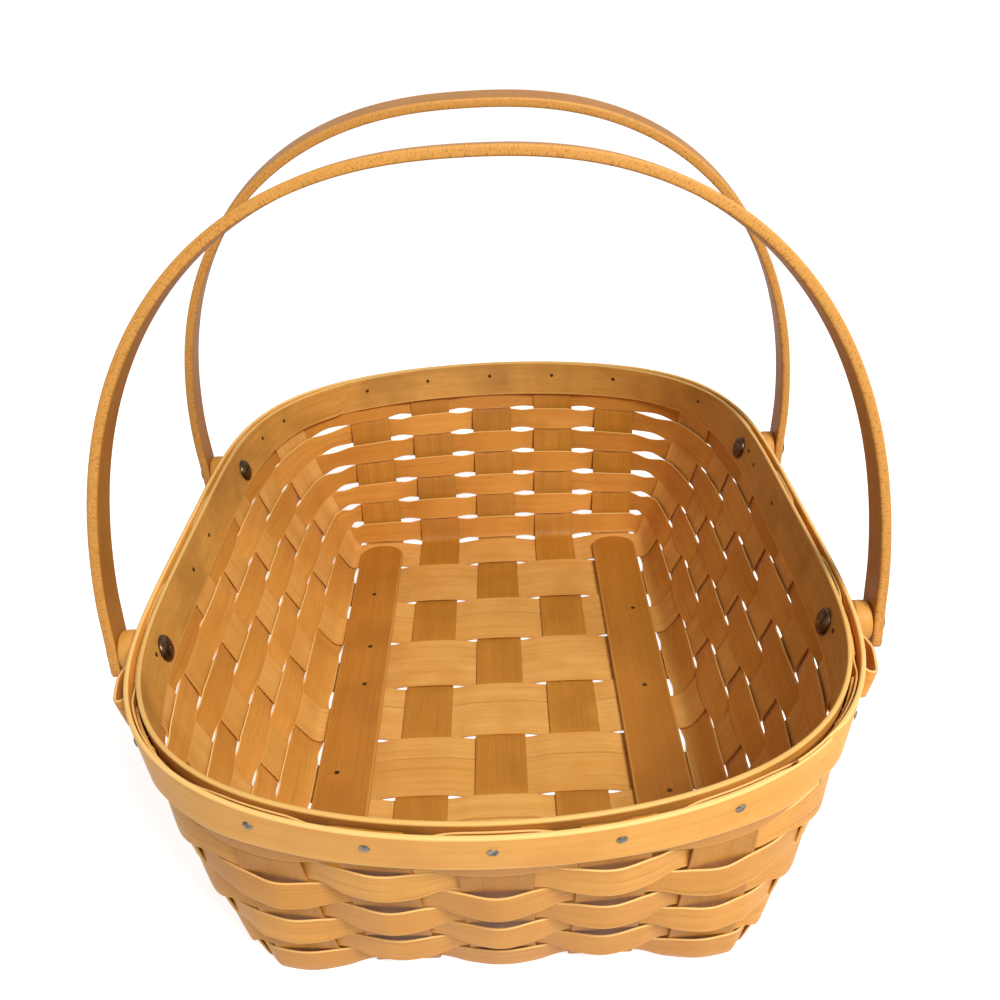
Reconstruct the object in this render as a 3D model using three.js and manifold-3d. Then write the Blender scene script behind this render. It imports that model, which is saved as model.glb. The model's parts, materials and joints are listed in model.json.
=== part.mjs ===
// A gathering basket of woven hardwood splints, with a riveted pair of swing handles.
// Millimetres, +Z up, +Y towards the far end, the origin on the ground under the middle of the floor.
import * as THREE from "three";
import { mergeVertices } from "three/addons/utils/BufferGeometryUtils.js";
import Module from "manifold-3d";

// Overall sizes of the basket, without its handles
const rimLength = 413;
const rimWidth = 302.5;
const rimHeight = 112.7;
const rimSideExponent = 2; // of x in the rim's superellipse: 2 is an ellipse, more is squarer
const rimEndExponent = 4.4; // of y
const footCornerRadius = 9;
const footBend = 4; // how far each side of the wall's foot the splints take to turn upward
const sideBulge = 5.5; // how far the long walls swell out between foot and rim
const endBulge = 2;

// Splints: long stakes run under the whole basket along Y, cross stakes along X
const longStakes = 5;
const crossStakes = 8;
const stakeWidth = 25.4;
const stakeThickness = 0.9;
const longStakeGap = 12.7;
const endStakeWidth = 29; // the first and the last cross stake
const fillerWidth = 15.2;
const seam = 0.3; // between a cross stake and the filler beside it
const rowGap = 0.6; // between one floor row and the next
const weaverWidth = 12.7;
const weaverThickness = 0.75;
const weaverGap = 1.85; // open height between two weavers on the wall
const rows = 8; // weavers round the wall, the top one behind the bands
const firstRowLow = 2.3; // from the wall's foot up to the lowest weaver
const weaveClearance = 0.25; // air between two splints that cross
const longStakeWave = 0.4; // how far a long stake leaves the floor's middle plane
const wallStakeWave = 0.3; // how far a stake leaves the wall's middle surface
const edgeMargin = 0.6; // how far a weaver lies flat beyond the edge of the stake that it crosses
const rimFan = 1.09; // spacing of the stakes at the rim against their spacing at the foot, at the ends
const sideMargin = 6.6; // from the outermost long stake to the wall's foot
const endMargin = 2.5; // from the outermost cross stake to the wall's foot

// Rim
const bandWidth = 21;
const innerBandThickness = 1.9;
const outerBandThickness = 1.9;
const bandClearance = 0.4; // from the weaver behind a band to the band
const stakeTopBelowRim = 1.5;
const lapStations = 3; // how many stations of a band its skived ends share
const lapClip = 6; // how much of the lower corner is cut off the band's end

// Runners, the two flat staves on the floor
const runnerWidth = 27.5;
const runnerThickness = 2.5;
const runnerHalfLength = 153.5;
const runnerCorner = 11;

// Handles: a bent strip whose outer edge is an upright superellipse that starts at the pivots
const handleStripWidth = 16;
const handleStripThickness = 4.2;
const handleSwell = 0.6; // how much wider than the pivots the arch gets
const handleSwellHeight = 6; // height of its widest place above the pivots
const handleHeight = 195.8; // from the pivots to the top of the arch
const handleSquareness = 2.38;
const handleToe = 11; // how far the strip runs on below its pivot
const handleFlat = 8; // how far above the pivot the strip stays flat
const pivotSpacing = 167; // between the front and the back pair of pivots
const pivotBelowRim = 11.5;
const frontLean = 7.2; // degrees from upright, + leans towards +Y
const backLean = -6;

// Pivot hardware
const rivetRadius = 2;
const rivetHeadRadius = 6;
const rivetHeadHeight = 2.6;
const rivetDimple = 0.5; // in the middle of each head
const outerHeadRadius = 5.1;
const outerHeadHeight = 2.1;
const rivetHole = 0.35; // clearance round the rivet's shank
const washerRadius = 8.5;
const washerThickness = 8.5;
const touch = 0.3; // gap between two faces that rest on each other
const stripWidth = 12.7;
const stripThickness = 1.1;
const stripBackTail = 17; // beyond the back rivets
const stripFrontTail = 36; // beyond the front rivets, to the fold
const stripLift = 24; // how far beyond the front rivets the strip stands fully off the band
const foldRadius = 0.6;
const foldReturn = 9; // how far the folded end runs back

// Tacks
const tackRadius = 0.9;
const tackHeadRadius = 2.1;
const tackHeadHeight = 0.9;
const tackBelowRim = 8.5;
const tackHole = 0.25;
const tackSeat = 0.6; // under the head, because the bands turn below it at the corners

// Worked out from the sizes above
const longPitch = stakeWidth + longStakeGap;
const crossPitch = stakeWidth + seam + fillerWidth + rowGap;
const crossStakeWave = stakeThickness + weaveClearance + 0.05 - longStakeWave;
const weaverWave = (stakeThickness + weaverThickness) / 2 + weaveClearance - wallStakeWave;
const floorHeight = crossStakeWave + stakeThickness / 2; // the floor's middle plane
const weaverPitch = weaverWidth + weaverGap;
const footHalfWidth = ((longStakes - 1) * longPitch + stakeWidth) / 2 + sideMargin;
const floorHalfLength = ((crossStakes - 1) * crossPitch - stakeWidth) / 2 + endStakeWidth;
const footHalfLength = floorHalfLength + endMargin;
const bandInset = weaverWave + weaverThickness / 2 + bandClearance; // from the wall's middle to a band's face
const rimInset = bandInset + outerBandThickness;
const pivotHeight = rimHeight - pivotBelowRim;
const wallSlant = 119; // the nominal slanted height that the weavers' rows are measured on

const wasm = await Module();
wasm.setup();

// An outline in plan, measured by the length along it, clockwise from the middle of the far end.
class Outline {
  constructor(points) {
    this.points = points;
    this.lengths = [0];
    points.forEach((p, i) => {
      const next = points[(i + 1) % points.length];
      this.lengths.push(this.lengths[i] + p.distanceTo(next));
    });
    this.perimeter = this.lengths[points.length];
  }
  at(length) {
    const s = THREE.MathUtils.euclideanModulo(length, this.perimeter);
    let low = 0;
    let high = this.points.length;
    while (high - low > 1) {
      const middle = (low + high) >> 1;
      if (this.lengths[middle] <= s) low = middle;
      else high = middle;
    }
    const share = (s - this.lengths[low]) / (this.lengths[low + 1] - this.lengths[low]);
    const next = this.points[(low + 1) % this.points.length];
    return this.points[low].clone().lerp(next, share);
  }
  // The horizontal direction that points out of the outline
  outward(length) {
    const along = this.at(length + 0.5).sub(this.at(length - 0.5)).normalize();
    return new THREE.Vector2(-along.y, along.x);
  }
}

function superellipse(halfLength, halfWidth) {
  const points = [];
  const count = 1440;
  for (let i = 0; i < count; i++) {
    const angle = (2 * Math.PI * i) / count;
    const ray = new THREE.Vector2(Math.sin(angle), Math.cos(angle));
    let low = 0;
    let high = 2 * halfLength;
    for (let halving = 0; halving < 40; halving++) {
      const reach = (low + high) / 2;
      const side = Math.abs((reach * ray.x) / halfWidth) ** rimSideExponent;
      const end = Math.abs((reach * ray.y) / halfLength) ** rimEndExponent;
      if (side + end < 1) low = reach;
      else high = reach;
    }
    points.push(ray.multiplyScalar(low));
  }
  return new Outline(points);
}

function roundedRectangle(halfLength, halfWidth, radius) {
  const points = [new THREE.Vector2(0, halfLength)];
  const steps = 24;
  for (let corner = 0; corner < 4; corner++) {
    const x = (halfWidth - radius) * (corner < 2 ? 1 : -1);
    const y = (halfLength - radius) * (corner === 0 || corner === 3 ? 1 : -1);
    for (let i = 0; i <= steps; i++) {
      const angle = (Math.PI / 2) * (corner + i / steps);
      points.push(new THREE.Vector2(x + radius * Math.sin(angle), y + radius * Math.cos(angle)));
    }
  }
  return new Outline(points);
}

const foot = roundedRectangle(footHalfLength, footHalfWidth, footCornerRadius);
const rim = superellipse(rimLength / 2 - rimInset, rimWidth / 2 - rimInset);

// A station is a place round the wall: its length along the foot and along the rim.
const mix = (a, b, share) => [
  THREE.MathUtils.lerp(a[0], b[0], share),
  THREE.MathUtils.lerp(a[1], b[1], share),
];
const shift = (station, distance) => [station[0] + distance, station[1] + distance];

// A point of the wall's middle surface: s runs up the slope from the foot, below 0 it runs in over the floor.
function wallPoint(station, s) {
  const f = foot.at(station[0]);
  const r = rim.at(station[1]);
  const base = new THREE.Vector3(f.x, f.y, floorHeight);
  const slope = new THREE.Vector3(r.x - f.x, r.y - f.y, rimHeight - floorHeight);
  const slant = slope.length();
  const out = foot.outward(station[0]);
  const flat = new THREE.Vector3(out.x, out.y, 0);
  const bulge = THREE.MathUtils.lerp(endBulge, sideBulge, flat.x ** 2);
  const swollen = (distance) => {
    const share = distance / slant;
    const point = base.clone().addScaledVector(slope, share);
    const swell = new THREE.Vector3(flat.x * slope.z, flat.y * slope.z, -slope.dot(flat)).normalize();
    return point.addScaledVector(swell, 4 * bulge * share * (1 - share));
  };
  if (s <= -footBend) return base.addScaledVector(flat, s);
  const distance = s > 0 ? (s * slant) / wallSlant : s;
  if (distance >= footBend) return swollen(distance);
  const share = (distance + footBend) / (2 * footBend);
  const inner = base.clone().addScaledVector(flat, -footBend);
  const outer = swollen(footBend);
  return inner
    .multiplyScalar((1 - share) ** 2)
    .addScaledVector(base, 2 * share * (1 - share))
    .addScaledVector(outer, share ** 2);
}

// The direction out of the wall between two stations, at s
function wallNormal(left, right, s) {
  const across = wallPoint(right, s).sub(wallPoint(left, s));
  const middle = mix(left, right, 0.5);
  const up = wallPoint(middle, s + 1).sub(wallPoint(middle, s - 1));
  return across.cross(up).normalize().negate();
}

// Cross stake j's edges on the floor. The two end stakes are wider towards their end of the basket.
const crossWidth = (j) => (j === 0 || j === crossStakes - 1 ? endStakeWidth : stakeWidth);
const crossOffset = (j) => (crossStakes - 1) / 2 - j;
const farEdge = (j) => (j === 0 ? floorHalfLength : crossOffset(j) * crossPitch + stakeWidth / 2);
const nearEdge = (j) => farEdge(j) - crossWidth(j);

// The 26 places where a stake climbs the wall, clockwise from the far end's leftmost stake. Each is a
// length along the foot, a length along the rim and the stake's width.
const quarterFoot = foot.perimeter / 4;
const quarterRim = rim.perimeter / 4;
const longOffset = (k) => k - (longStakes - 1) / 2;
const crossRimPitch = pivotSpacing / 4;
const places = [];
for (let k = 0; k < longStakes; k++) {
  places.push([longOffset(k) * longPitch, longOffset(k) * longPitch * rimFan, stakeWidth]);
}
for (let j = 0; j < crossStakes; j++) {
  const middle = (farEdge(j) + nearEdge(j)) / 2;
  places.push([quarterFoot - middle, quarterRim - crossOffset(j) * crossRimPitch, crossWidth(j)]);
}
const opposite = places.map(([f, r, width]) => [f + 2 * quarterFoot, r + 2 * quarterRim, width]);
places.push(...opposite);
const placeEdges = (place, margin = 0) => [
  shift(place, -place[2] / 2 - margin),
  shift(place, place[2] / 2 + margin),
];
const farPlace = (k) => places[k];
const rightPlace = (k) => places[longStakes + k];
const nearIndex = (k) => 2 * longStakes + crossStakes - 1 - k;
const nearPlace = (k) => places[nearIndex(k)];
const leftPlace = (k) => places[places.length - 1 - k];

// The stations that rings and bands pass: just beyond both edges of each stake, and some round each corner
const cornerSteps = 4;
const ringStations = [];
places.forEach((place, k) => {
  const pair = placeEdges(place);
  ringStations.push({ pair, edge: 0, place: k }, { pair, edge: 1, place: k });
  const next = places[(k + 1) % places.length];
  const turn = k === places.length - 1 ? [foot.perimeter, rim.perimeter] : [0, 0];
  const nextLeft = placeEdges([next[0] + turn[0], next[1] + turn[1], next[2]])[0];
  const corners = [longStakes, longStakes + crossStakes, 2 * longStakes + crossStakes, places.length];
  if (!corners.includes(k + 1)) return;
  for (let i = 1; i < cornerSteps; i++) {
    const shares = [(i - 0.5) / cornerSteps, (i + 0.5) / cornerSteps];
    const around = shares.map((share) => mix(pair[1], nextLeft, share));
    ringStations.push({ pair: around, corner: i / cornerSteps, place: k });
  }
});

// A ring's point at a station: a little beyond the stake's edge, on the stake's own plane, or in mid corner
function stationPoint({ pair, edge }, s) {
  const [left, right] = pair.map((station) => wallPoint(station, s));
  if (edge === undefined) return wallPoint(mix(pair[0], pair[1], 0.5), s);
  const along = right.clone().sub(left).normalize();
  return edge ? right.addScaledVector(along, edgeMargin) : left.addScaledVector(along, -edgeMargin);
}

// Solids

// Sweeps a list of four-cornered sections into a closed mesh, as a ring or with a flat cap at each end.
// A twisted quad is split along the diagonal that lies further out, so that splints which cross stay apart.
function loft(sections, closed = false) {
  const reach = (a, b) => (a.x + b.x) ** 2 + (a.y + b.y) ** 2;
  const position = sections.flat().flatMap((p) => [p.x, p.y, p.z]);
  const index = [];
  const count = sections.length;
  for (let i = 0; i < (closed ? count : count - 1); i++) {
    const next = (i + 1) % count;
    for (let c = 0; c < 4; c++) {
      const d = (c + 1) % 4;
      const quad = [4 * i + c, 4 * i + d, 4 * next + d, 4 * next + c];
      const first = reach(sections[i][c], sections[next][d]);
      const second = reach(sections[i][d], sections[next][c]);
      if (first < second - 1e-6) quad.unshift(quad.pop());
      index.push(quad[0], quad[1], quad[2], quad[0], quad[2], quad[3]);
    }
  }
  if (!closed) {
    const last = 4 * (count - 1);
    index.push(0, 2, 1, 0, 3, 2, last, last + 1, last + 2, last, last + 2, last + 3);
  }
  const geometry = new THREE.BufferGeometry();
  geometry.setAttribute("position", new THREE.Float32BufferAttribute(position, 3));
  geometry.setIndex(volume(position, index) < 0 ? index.reverse() : index);
  return geometry;
}

function volume(position, index) {
  const corner = (i) => new THREE.Vector3(...position.slice(3 * index[i], 3 * index[i] + 3));
  let total = 0;
  for (let i = 0; i < index.length; i += 3) {
    total += corner(i).dot(corner(i + 1).cross(corner(i + 2)));
  }
  return total;
}

function toSolid(geometry) {
  const plain = new THREE.BufferGeometry();
  plain.setAttribute("position", geometry.getAttribute("position").clone());
  if (geometry.index) plain.setIndex(geometry.index);
  const merged = mergeVertices(plain, 1e-4);
  return new wasm.Manifold(
    new wasm.Mesh({
      numProp: 3,
      vertProperties: new Float32Array(merged.getAttribute("position").array),
      triVerts: new Uint32Array(merged.index.array),
    }),
  );
}

function toGeometry(solid) {
  const mesh = solid.getMesh();
  const geometry = new THREE.BufferGeometry();
  geometry.setAttribute("position", new THREE.BufferAttribute(new Float32Array(mesh.vertProperties), 3));
  geometry.setIndex(new THREE.BufferAttribute(new Uint32Array(mesh.triVerts), 1));
  return geometry;
}

const cut = (geometry, tools) =>
  toGeometry(tools.reduce((solid, tool) => solid.subtract(toSolid(tool)), toSolid(geometry)));

// Turns a lathe or cylinder made along +Y so that it lies along a direction, from a starting point.
function alongFrom(geometry, start, direction) {
  const turn = new THREE.Quaternion().setFromUnitVectors(new THREE.Vector3(0, 1, 0), direction);
  return geometry.applyQuaternion(turn).translate(start.x, start.y, start.z);
}

const group = new THREE.Group();
const wood = (colour) => new THREE.MeshStandardMaterial({ color: colour, roughness: 0.62, metalness: 0 });
const colours = {
  stake: wood("#b8802f"),
  crossStake: wood("#d9a866"),
  weaver: wood("#c8924a"),
  band: wood("#cf9648"),
  runner: wood("#a5692a"),
  handle: wood("#d3913f"),
  washer: wood("#e2ad5c"),
  rivet: new THREE.MeshStandardMaterial({ color: "#4a3320", roughness: 0.35, metalness: 0.9 }),
  tack: new THREE.MeshStandardMaterial({ color: "#8f8f8c", roughness: 0.45, metalness: 0.9 }),
};

function add(name, geometry, material, parent = group) {
  const mesh = new THREE.Mesh(geometry, material);
  mesh.name = name;
  parent.add(mesh);
  return mesh;
}

// One section of a splint that climbs the wall: its two edges, each with an inner and an outer corner
function stakeSection(edges, s, offset) {
  const normal = wallNormal(edges[0], edges[1], s);
  const [a, b] = edges.map((edge) => wallPoint(edge, s));
  const inner = offset - stakeThickness / 2;
  const outer = offset + stakeThickness / 2;
  return [
    a.clone().addScaledVector(normal, inner),
    b.clone().addScaledVector(normal, inner),
    b.clone().addScaledVector(normal, outer),
    a.clone().addScaledVector(normal, outer),
  ];
}

// Where each weaver ring lies up the wall: row 0 stands on the floor's edge, the last row is under the bands
const ringLow = (row) => firstRowLow + row * weaverPitch;
const weaverInside = (place, row) => (place + row) % 2 === 0;

// The wall part of a stake, from its top down to the floor: a list of sections
function climb(place, index, flip) {
  const edges = placeEdges(place);
  const sections = [stakeSection(edges, wallSlant - stakeTopBelowRim, 0)];
  for (let row = rows - 1; row >= 0; row--) {
    const offset = wallStakeWave * (weaverInside(index, row) ? 1 : -1);
    sections.push(stakeSection(edges, ringLow(row) + weaverWidth + 0.3, offset));
    sections.push(stakeSection(edges, ringLow(row) - 0.3, offset));
  }
  // The far wall's left edge is the near wall's right edge, so one of the two is turned over
  return flip ? sections.map(([a, b, c, d]) => [b, a, d, c]) : sections;
}

function floorSection(x0, x1, y0, y1, offset, thickness) {
  const low = floorHeight - offset - thickness / 2;
  const high = floorHeight - offset + thickness / 2;
  return [
    new THREE.Vector3(x0, y0, high),
    new THREE.Vector3(x1, y1, high),
    new THREE.Vector3(x1, y1, low),
    new THREE.Vector3(x0, y0, low),
  ];
}

// True where cross stake j passes over long stake i on the floor, both counted from 0
const crossOver = (i, j) => (i + j) % 2 === 0;

function longStake(k) {
  const x = longOffset(k) * longPitch;
  const sections = climb(farPlace(k), k, false);
  for (let row = 0; row < crossStakes; row++) {
    const offset = longStakeWave * (crossOver(k, row) ? 1 : -1);
    const far = farEdge(row) + (row > 0 ? seam + fillerWidth : 0);
    for (const y of [far - 0.05, nearEdge(row) + 0.05]) {
      sections.push(floorSection(x - stakeWidth / 2, x + stakeWidth / 2, y, y, offset, stakeThickness));
    }
  }
  sections.push(...climb(nearPlace(k), nearIndex(k), true).reverse());
  return loft(sections);
}

function crossFloor(y0, y1, j) {
  const sections = [];
  for (let i = 0; i < longStakes; i++) {
    const x = longOffset(i) * longPitch;
    const offset = crossStakeWave * (crossOver(i, j) ? -1 : 1);
    for (const edge of [x - stakeWidth / 2 - edgeMargin, x + stakeWidth / 2 + edgeMargin]) {
      sections.push(floorSection(edge, edge, y0, y1, offset, stakeThickness));
    }
  }
  return sections;
}

function crossStake(j) {
  const left = climb(leftPlace(j), places.length - 1 - j, true);
  const right = climb(rightPlace(j), longStakes + j, false).reverse();
  return loft([...left, ...crossFloor(farEdge(j), nearEdge(j), j), ...right]);
}

function filler(j) {
  const far = farEdge(j) + seam + fillerWidth;
  return loft(crossFloor(far, far - fillerWidth, j));
}

function weaverRing(row) {
  const low = ringLow(row);
  const sections = ringStations.map((entry) => {
    const { pair, corner, place } = entry;
    const side = (k) => weaverWave * (weaverInside(k, row) ? -1 : 1);
    const offset = corner ? THREE.MathUtils.lerp(side(place), side(place + 1), corner) : side(place);
    const corners = [low, low + weaverWidth].map((s) => [
      stationPoint(entry, s),
      wallNormal(pair[0], pair[1], s),
    ]);
    const at = (c, depth) => corners[c][0].clone().addScaledVector(corners[c][1], depth);
    const inner = offset - weaverThickness / 2;
    const outer = offset + weaverThickness / 2;
    return [at(0, inner), at(1, inner), at(1, outer), at(0, outer)];
  });
  return loft(sections, true);
}

// A band round the rim whose skived ends overlap: the last stations lie inside the first ones.
function band(inner, outer, start) {
  const middle = (inner + outer) / 2;
  const count = ringStations.length;
  const sections = [];
  for (let i = 0; i < count + lapStations; i++) {
    const entry = ringStations[(start + i) % count];
    const first = i < lapStations;
    const last = i >= count;
    const from = first ? middle + touch / 2 : inner;
    const to = last ? middle - touch / 2 : outer;
    const clip = i === count + lapStations - 1 ? lapClip : 0;
    const low = wallSlant - bandWidth + clip;
    const normal = wallNormal(entry.pair[0], entry.pair[1], wallSlant - bandWidth / 2);
    const corners = [low, wallSlant].map((s) => [stationPoint(entry, s), normal]);
    const at = (c, depth) => corners[c][0].clone().addScaledVector(corners[c][1], depth);
    sections.push([at(0, from), at(1, from), at(1, to), at(0, to)]);
  }
  return loft(sections);
}

function runner(side) {
  const shape = new THREE.Shape();
  const x = runnerWidth / 2;
  const y = runnerHalfLength;
  const r = runnerCorner;
  shape.moveTo(-x, -y + r);
  shape.absarc(-x + r, -y + r, r, Math.PI, 1.5 * Math.PI, false);
  shape.absarc(x - r, -y + r, r, 1.5 * Math.PI, 2 * Math.PI, false);
  shape.absarc(x - r, y - r, r, 0, 0.5 * Math.PI, false);
  shape.absarc(-x + r, y - r, r, 0.5 * Math.PI, Math.PI, false);
  const settings = { depth: runnerThickness, bevelEnabled: false, curveSegments: 5 };
  const geometry = new THREE.ExtrudeGeometry(shape, settings);
  const outermost = ((longStakes - 1) / 2) * longPitch;
  return geometry.translate(side * outermost, 0, floorHeight + crossStakeWave + stakeThickness / 2 + touch);
}

// Pivots

const pivots = [];
for (const side of [-1, 1]) {
  for (const end of [-1, 1]) {
    const rimArc = (side > 0 ? 1 : 3) * quarterRim + (-side * end * pivotSpacing) / 2;
    const footArc = (side > 0 ? 1 : 3) * quarterFoot - side * end * crossPitch * 2;
    const pair = [shift([footArc, rimArc], -stakeWidth / 4), shift([footArc, rimArc], stakeWidth / 4)];
    const low = wallPoint([footArc, rimArc], wallSlant - bandWidth);
    const high = wallPoint([footArc, rimArc], wallSlant);
    const share = (pivotHeight - low.z) / (high.z - low.z);
    const normal = wallNormal(pair[0], pair[1], wallSlant - bandWidth / 2);
    const s = wallSlant - bandWidth * (1 - share);
    pivots.push({ side, end, s, point: low.lerp(high, share), normal });
  }
}
const pivotName = ({ side, end }) => `${end < 0 ? "front" : "back"}_${side < 0 ? "left" : "right"}`;
const pivotY = (end) => (end * pivotSpacing) / 2;
const axisPoint = (x, end) => new THREE.Vector3(x, pivotY(end), pivotHeight);

const shankTool = (pivot, radius, from, to) => {
  const length = to - from;
  const geometry = new THREE.CylinderGeometry(radius, radius, length, 12).translate(0, length / 2, 0);
  return alongFrom(geometry, axisPoint(pivot.side * from, pivot.end), new THREE.Vector3(pivot.side, 0, 0));
};

// How far out along X the wall's middle surface is at a pivot's axis, and the layers outside it
const wallX = (pivot) => Math.abs(pivot.point.x);
const stripSeat = bandInset + outerBandThickness + touch;
const stripOuter = stripSeat + stripThickness;
const washerSeat = (pivot) => wallX(pivot) + (stripOuter + touch) / Math.abs(pivot.normal.x);
const handleFootHalfWidth = washerSeat(pivots[0]) + washerThickness + touch;

function domedHead(radius, height, dimple) {
  const profile = [
    [0, 0],
    [radius, 0],
    [radius, height * 0.3],
    [radius * 0.8, height * 0.75],
    [radius * 0.45, height],
    [radius * 0.18, height],
    [0, height - dimple],
  ];
  return new THREE.LatheGeometry(profile.map(([x, y]) => new THREE.Vector2(x, y)), 12);
}

const outerFace = handleFootHalfWidth + handleStripThickness;

function rivet(pivot) {
  const inward = pivot.normal.clone().negate();
  const slope = Math.abs(pivot.normal.x);
  const headSeat = wallX(pivot) - (bandInset + innerBandThickness + touch) / slope;
  const innerHead = domedHead(rivetHeadRadius, rivetHeadHeight, rivetDimple);
  const inner = alongFrom(innerHead, axisPoint(pivot.side * headSeat, pivot.end), inward);
  const outerSeat = outerFace + touch;
  const outward = new THREE.Vector3(pivot.side, 0, 0);
  const outerHead = domedHead(outerHeadRadius, outerHeadHeight, rivetDimple);
  const outer = alongFrom(outerHead, axisPoint(pivot.side * outerSeat, pivot.end), outward);
  const shank = shankTool(pivot, rivetRadius, headSeat - 0.6, outerSeat + 0.5);
  return toGeometry(toSolid(shank).add(toSolid(inner)).add(toSolid(outer)));
}

// The strip of splint under the washers. It follows the outer band, then lifts off it and folds back under.
function sideStrip(side) {
  const { s } = pivots.find((p) => p.side === side && p.end < 0);
  const quarter = side > 0 ? 1 : 3;
  const corner = (at, [y, depth]) => {
    const foot = quarter * quarterFoot - side * y * (crossPitch / crossRimPitch);
    const station = [foot, quarter * quarterRim - side * y];
    const normal = wallNormal(shift(station, -stakeWidth / 4), shift(station, stakeWidth / 4), s);
    return wallPoint(station, at).addScaledVector(normal, depth);
  };
  const low = s - stripWidth / 2;
  const high = s + stripWidth / 2;
  const section = (near, far) => [corner(low, near), corner(high, near), corner(high, far), corner(low, far)];
  const sections = [];
  const frontPivot = -pivotSpacing / 2;
  const back = -frontPivot + stripBackTail;
  const front = frontPivot - stripFrontTail;
  const outerLayer = (y) => {
    const lift = THREE.MathUtils.smoothstep(frontPivot - y, washerRadius, stripLift);
    const depth = stripSeat + lift * (stripThickness + 2 * foldRadius);
    sections.push(section([y, depth], [y, depth + stripThickness]));
  };
  const alongSteps = 8;
  const liftSteps = 6;
  for (let i = 0; i < alongSteps; i++) outerLayer(THREE.MathUtils.lerp(back, frontPivot, i / alongSteps));
  for (let i = 0; i <= liftSteps; i++) outerLayer(THREE.MathUtils.lerp(frontPivot, front, i / liftSteps));
  const centre = stripSeat + stripThickness + foldRadius;
  const turned = (radius, angle) => [front - radius * Math.sin(angle), centre + radius * Math.cos(angle)];
  const turns = 5;
  for (let i = 1; i <= turns; i++) {
    const angle = (Math.PI * i) / turns;
    sections.push(section(turned(foldRadius, angle), turned(foldRadius + stripThickness, angle)));
  }
  const end = front + foldReturn;
  sections.push(section([end, centre - foldRadius], [end, stripSeat]));
  return loft(sections);
}

function washer(pivot) {
  const blank = 1.5 * washerRadius; // cut off again along the side strip's slant
  const from = wallX(pivot) - blank;
  const to = handleFootHalfWidth - touch;
  const length = to - from;
  const disc = new THREE.CylinderGeometry(washerRadius, washerRadius, length, 24).translate(0, length / 2, 0);
  const outward = new THREE.Vector3(pivot.side, 0, 0);
  const placed = alongFrom(disc, axisPoint(pivot.side * from, pivot.end), outward);
  const depth = 2 * blank;
  const slab = new THREE.BoxGeometry(4 * depth, depth, 4 * depth);
  const seat = axisPoint(pivot.side * washerSeat(pivot), pivot.end);
  slab.translate(0, -depth / 2, 0);
  alongFrom(slab, seat, pivot.normal);
  return cut(placed, [slab, shankTool(pivot, rivetRadius + rivetHole, from - 1, to + 1)]);
}

// A handle: the arch's inner line from one toe over the top to the other, as [half width, height] pairs
function archLine(inset) {
  const points = [];
  const steps = 30;
  const wide = handleFootHalfWidth + handleStripThickness + handleSwell - inset;
  const top = handleHeight - inset;
  const footX = handleFootHalfWidth + handleStripThickness - inset;
  points.push([footX, -handleToe], [footX, 0], [footX, handleFlat]);
  for (let i = 1; i < steps; i++) {
    const angle = (Math.PI / 2) * (i / steps);
    const power = 2 / handleSquareness;
    const height = handleSwellHeight + (top - handleSwellHeight) * Math.sin(angle) ** power;
    points.push([wide * Math.cos(angle) ** power, height]);
  }
  points.push([0, top]);
  return points;
}

function handle(end) {
  const outer = archLine(0);
  const inner = archLine(handleStripThickness);
  const half = outer.map((p, i) => [p, inner[i]]);
  const other = half
    .slice(0, -1)
    .reverse()
    .map(([o, n]) => [
      [-o[0], o[1]],
      [-n[0], n[1]],
    ]);
  const w = handleStripWidth / 2;
  const sections = [...half, ...other].map(([o, n], i, all) => {
    const toe = i === 0 || i === all.length - 1 ? 0.6 : 1;
    return [
      new THREE.Vector3(n[0], -w * toe, n[1]),
      new THREE.Vector3(n[0], w * toe, n[1]),
      new THREE.Vector3(o[0], w * toe, o[1]),
      new THREE.Vector3(o[0], -w * toe, o[1]),
    ];
  });
  const holes = [-1, 1].map((side) => {
    const length = 2 * handleStripThickness;
    const tool = new THREE.CylinderGeometry(rivetRadius + rivetHole, rivetRadius + rivetHole, length, 12);
    tool.rotateZ(Math.PI / 2);
    return tool.translate(side * (handleFootHalfWidth + handleStripThickness / 2), 0, 0);
  });
  const geometry = cut(loft(sections), holes);
  const swing = new THREE.Group();
  swing.position.set(0, pivotY(end), pivotHeight);
  swing.rotation.x = -THREE.MathUtils.degToRad(end < 0 ? frontLean : backLean);
  group.add(swing);
  add(end < 0 ? "front_handle" : "back_handle", geometry, colours.handle, swing);
}

// Tacks: one through the outer band, the stake and the inner band
const tackS = wallSlant - tackBelowRim;
const tackAt = (index) => {
  const edges = placeEdges(places[index]);
  const [a, b] = edges.map((edge) => wallPoint(edge, tackS));
  return { point: a.lerp(b, 0.5), normal: wallNormal(edges[0], edges[1], wallSlant - bandWidth / 2) };
};
function tackTool(index, radius, from, to, sides) {
  const { point, normal } = tackAt(index);
  const length = to - from;
  const geometry = new THREE.CylinderGeometry(radius, radius, length, sides).translate(0, length / 2, 0);
  return alongFrom(geometry, point.addScaledVector(normal, from), normal);
}
function tack(index) {
  const face = bandInset + outerBandThickness + tackSeat;
  const shank = tackTool(index, tackRadius, -bandInset - innerBandThickness, face + 0.2, 5);
  const head = tackTool(index, tackHeadRadius, face, face + tackHeadHeight, 8);
  return toGeometry(toSolid(shank).add(toSolid(head)));
}

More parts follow.
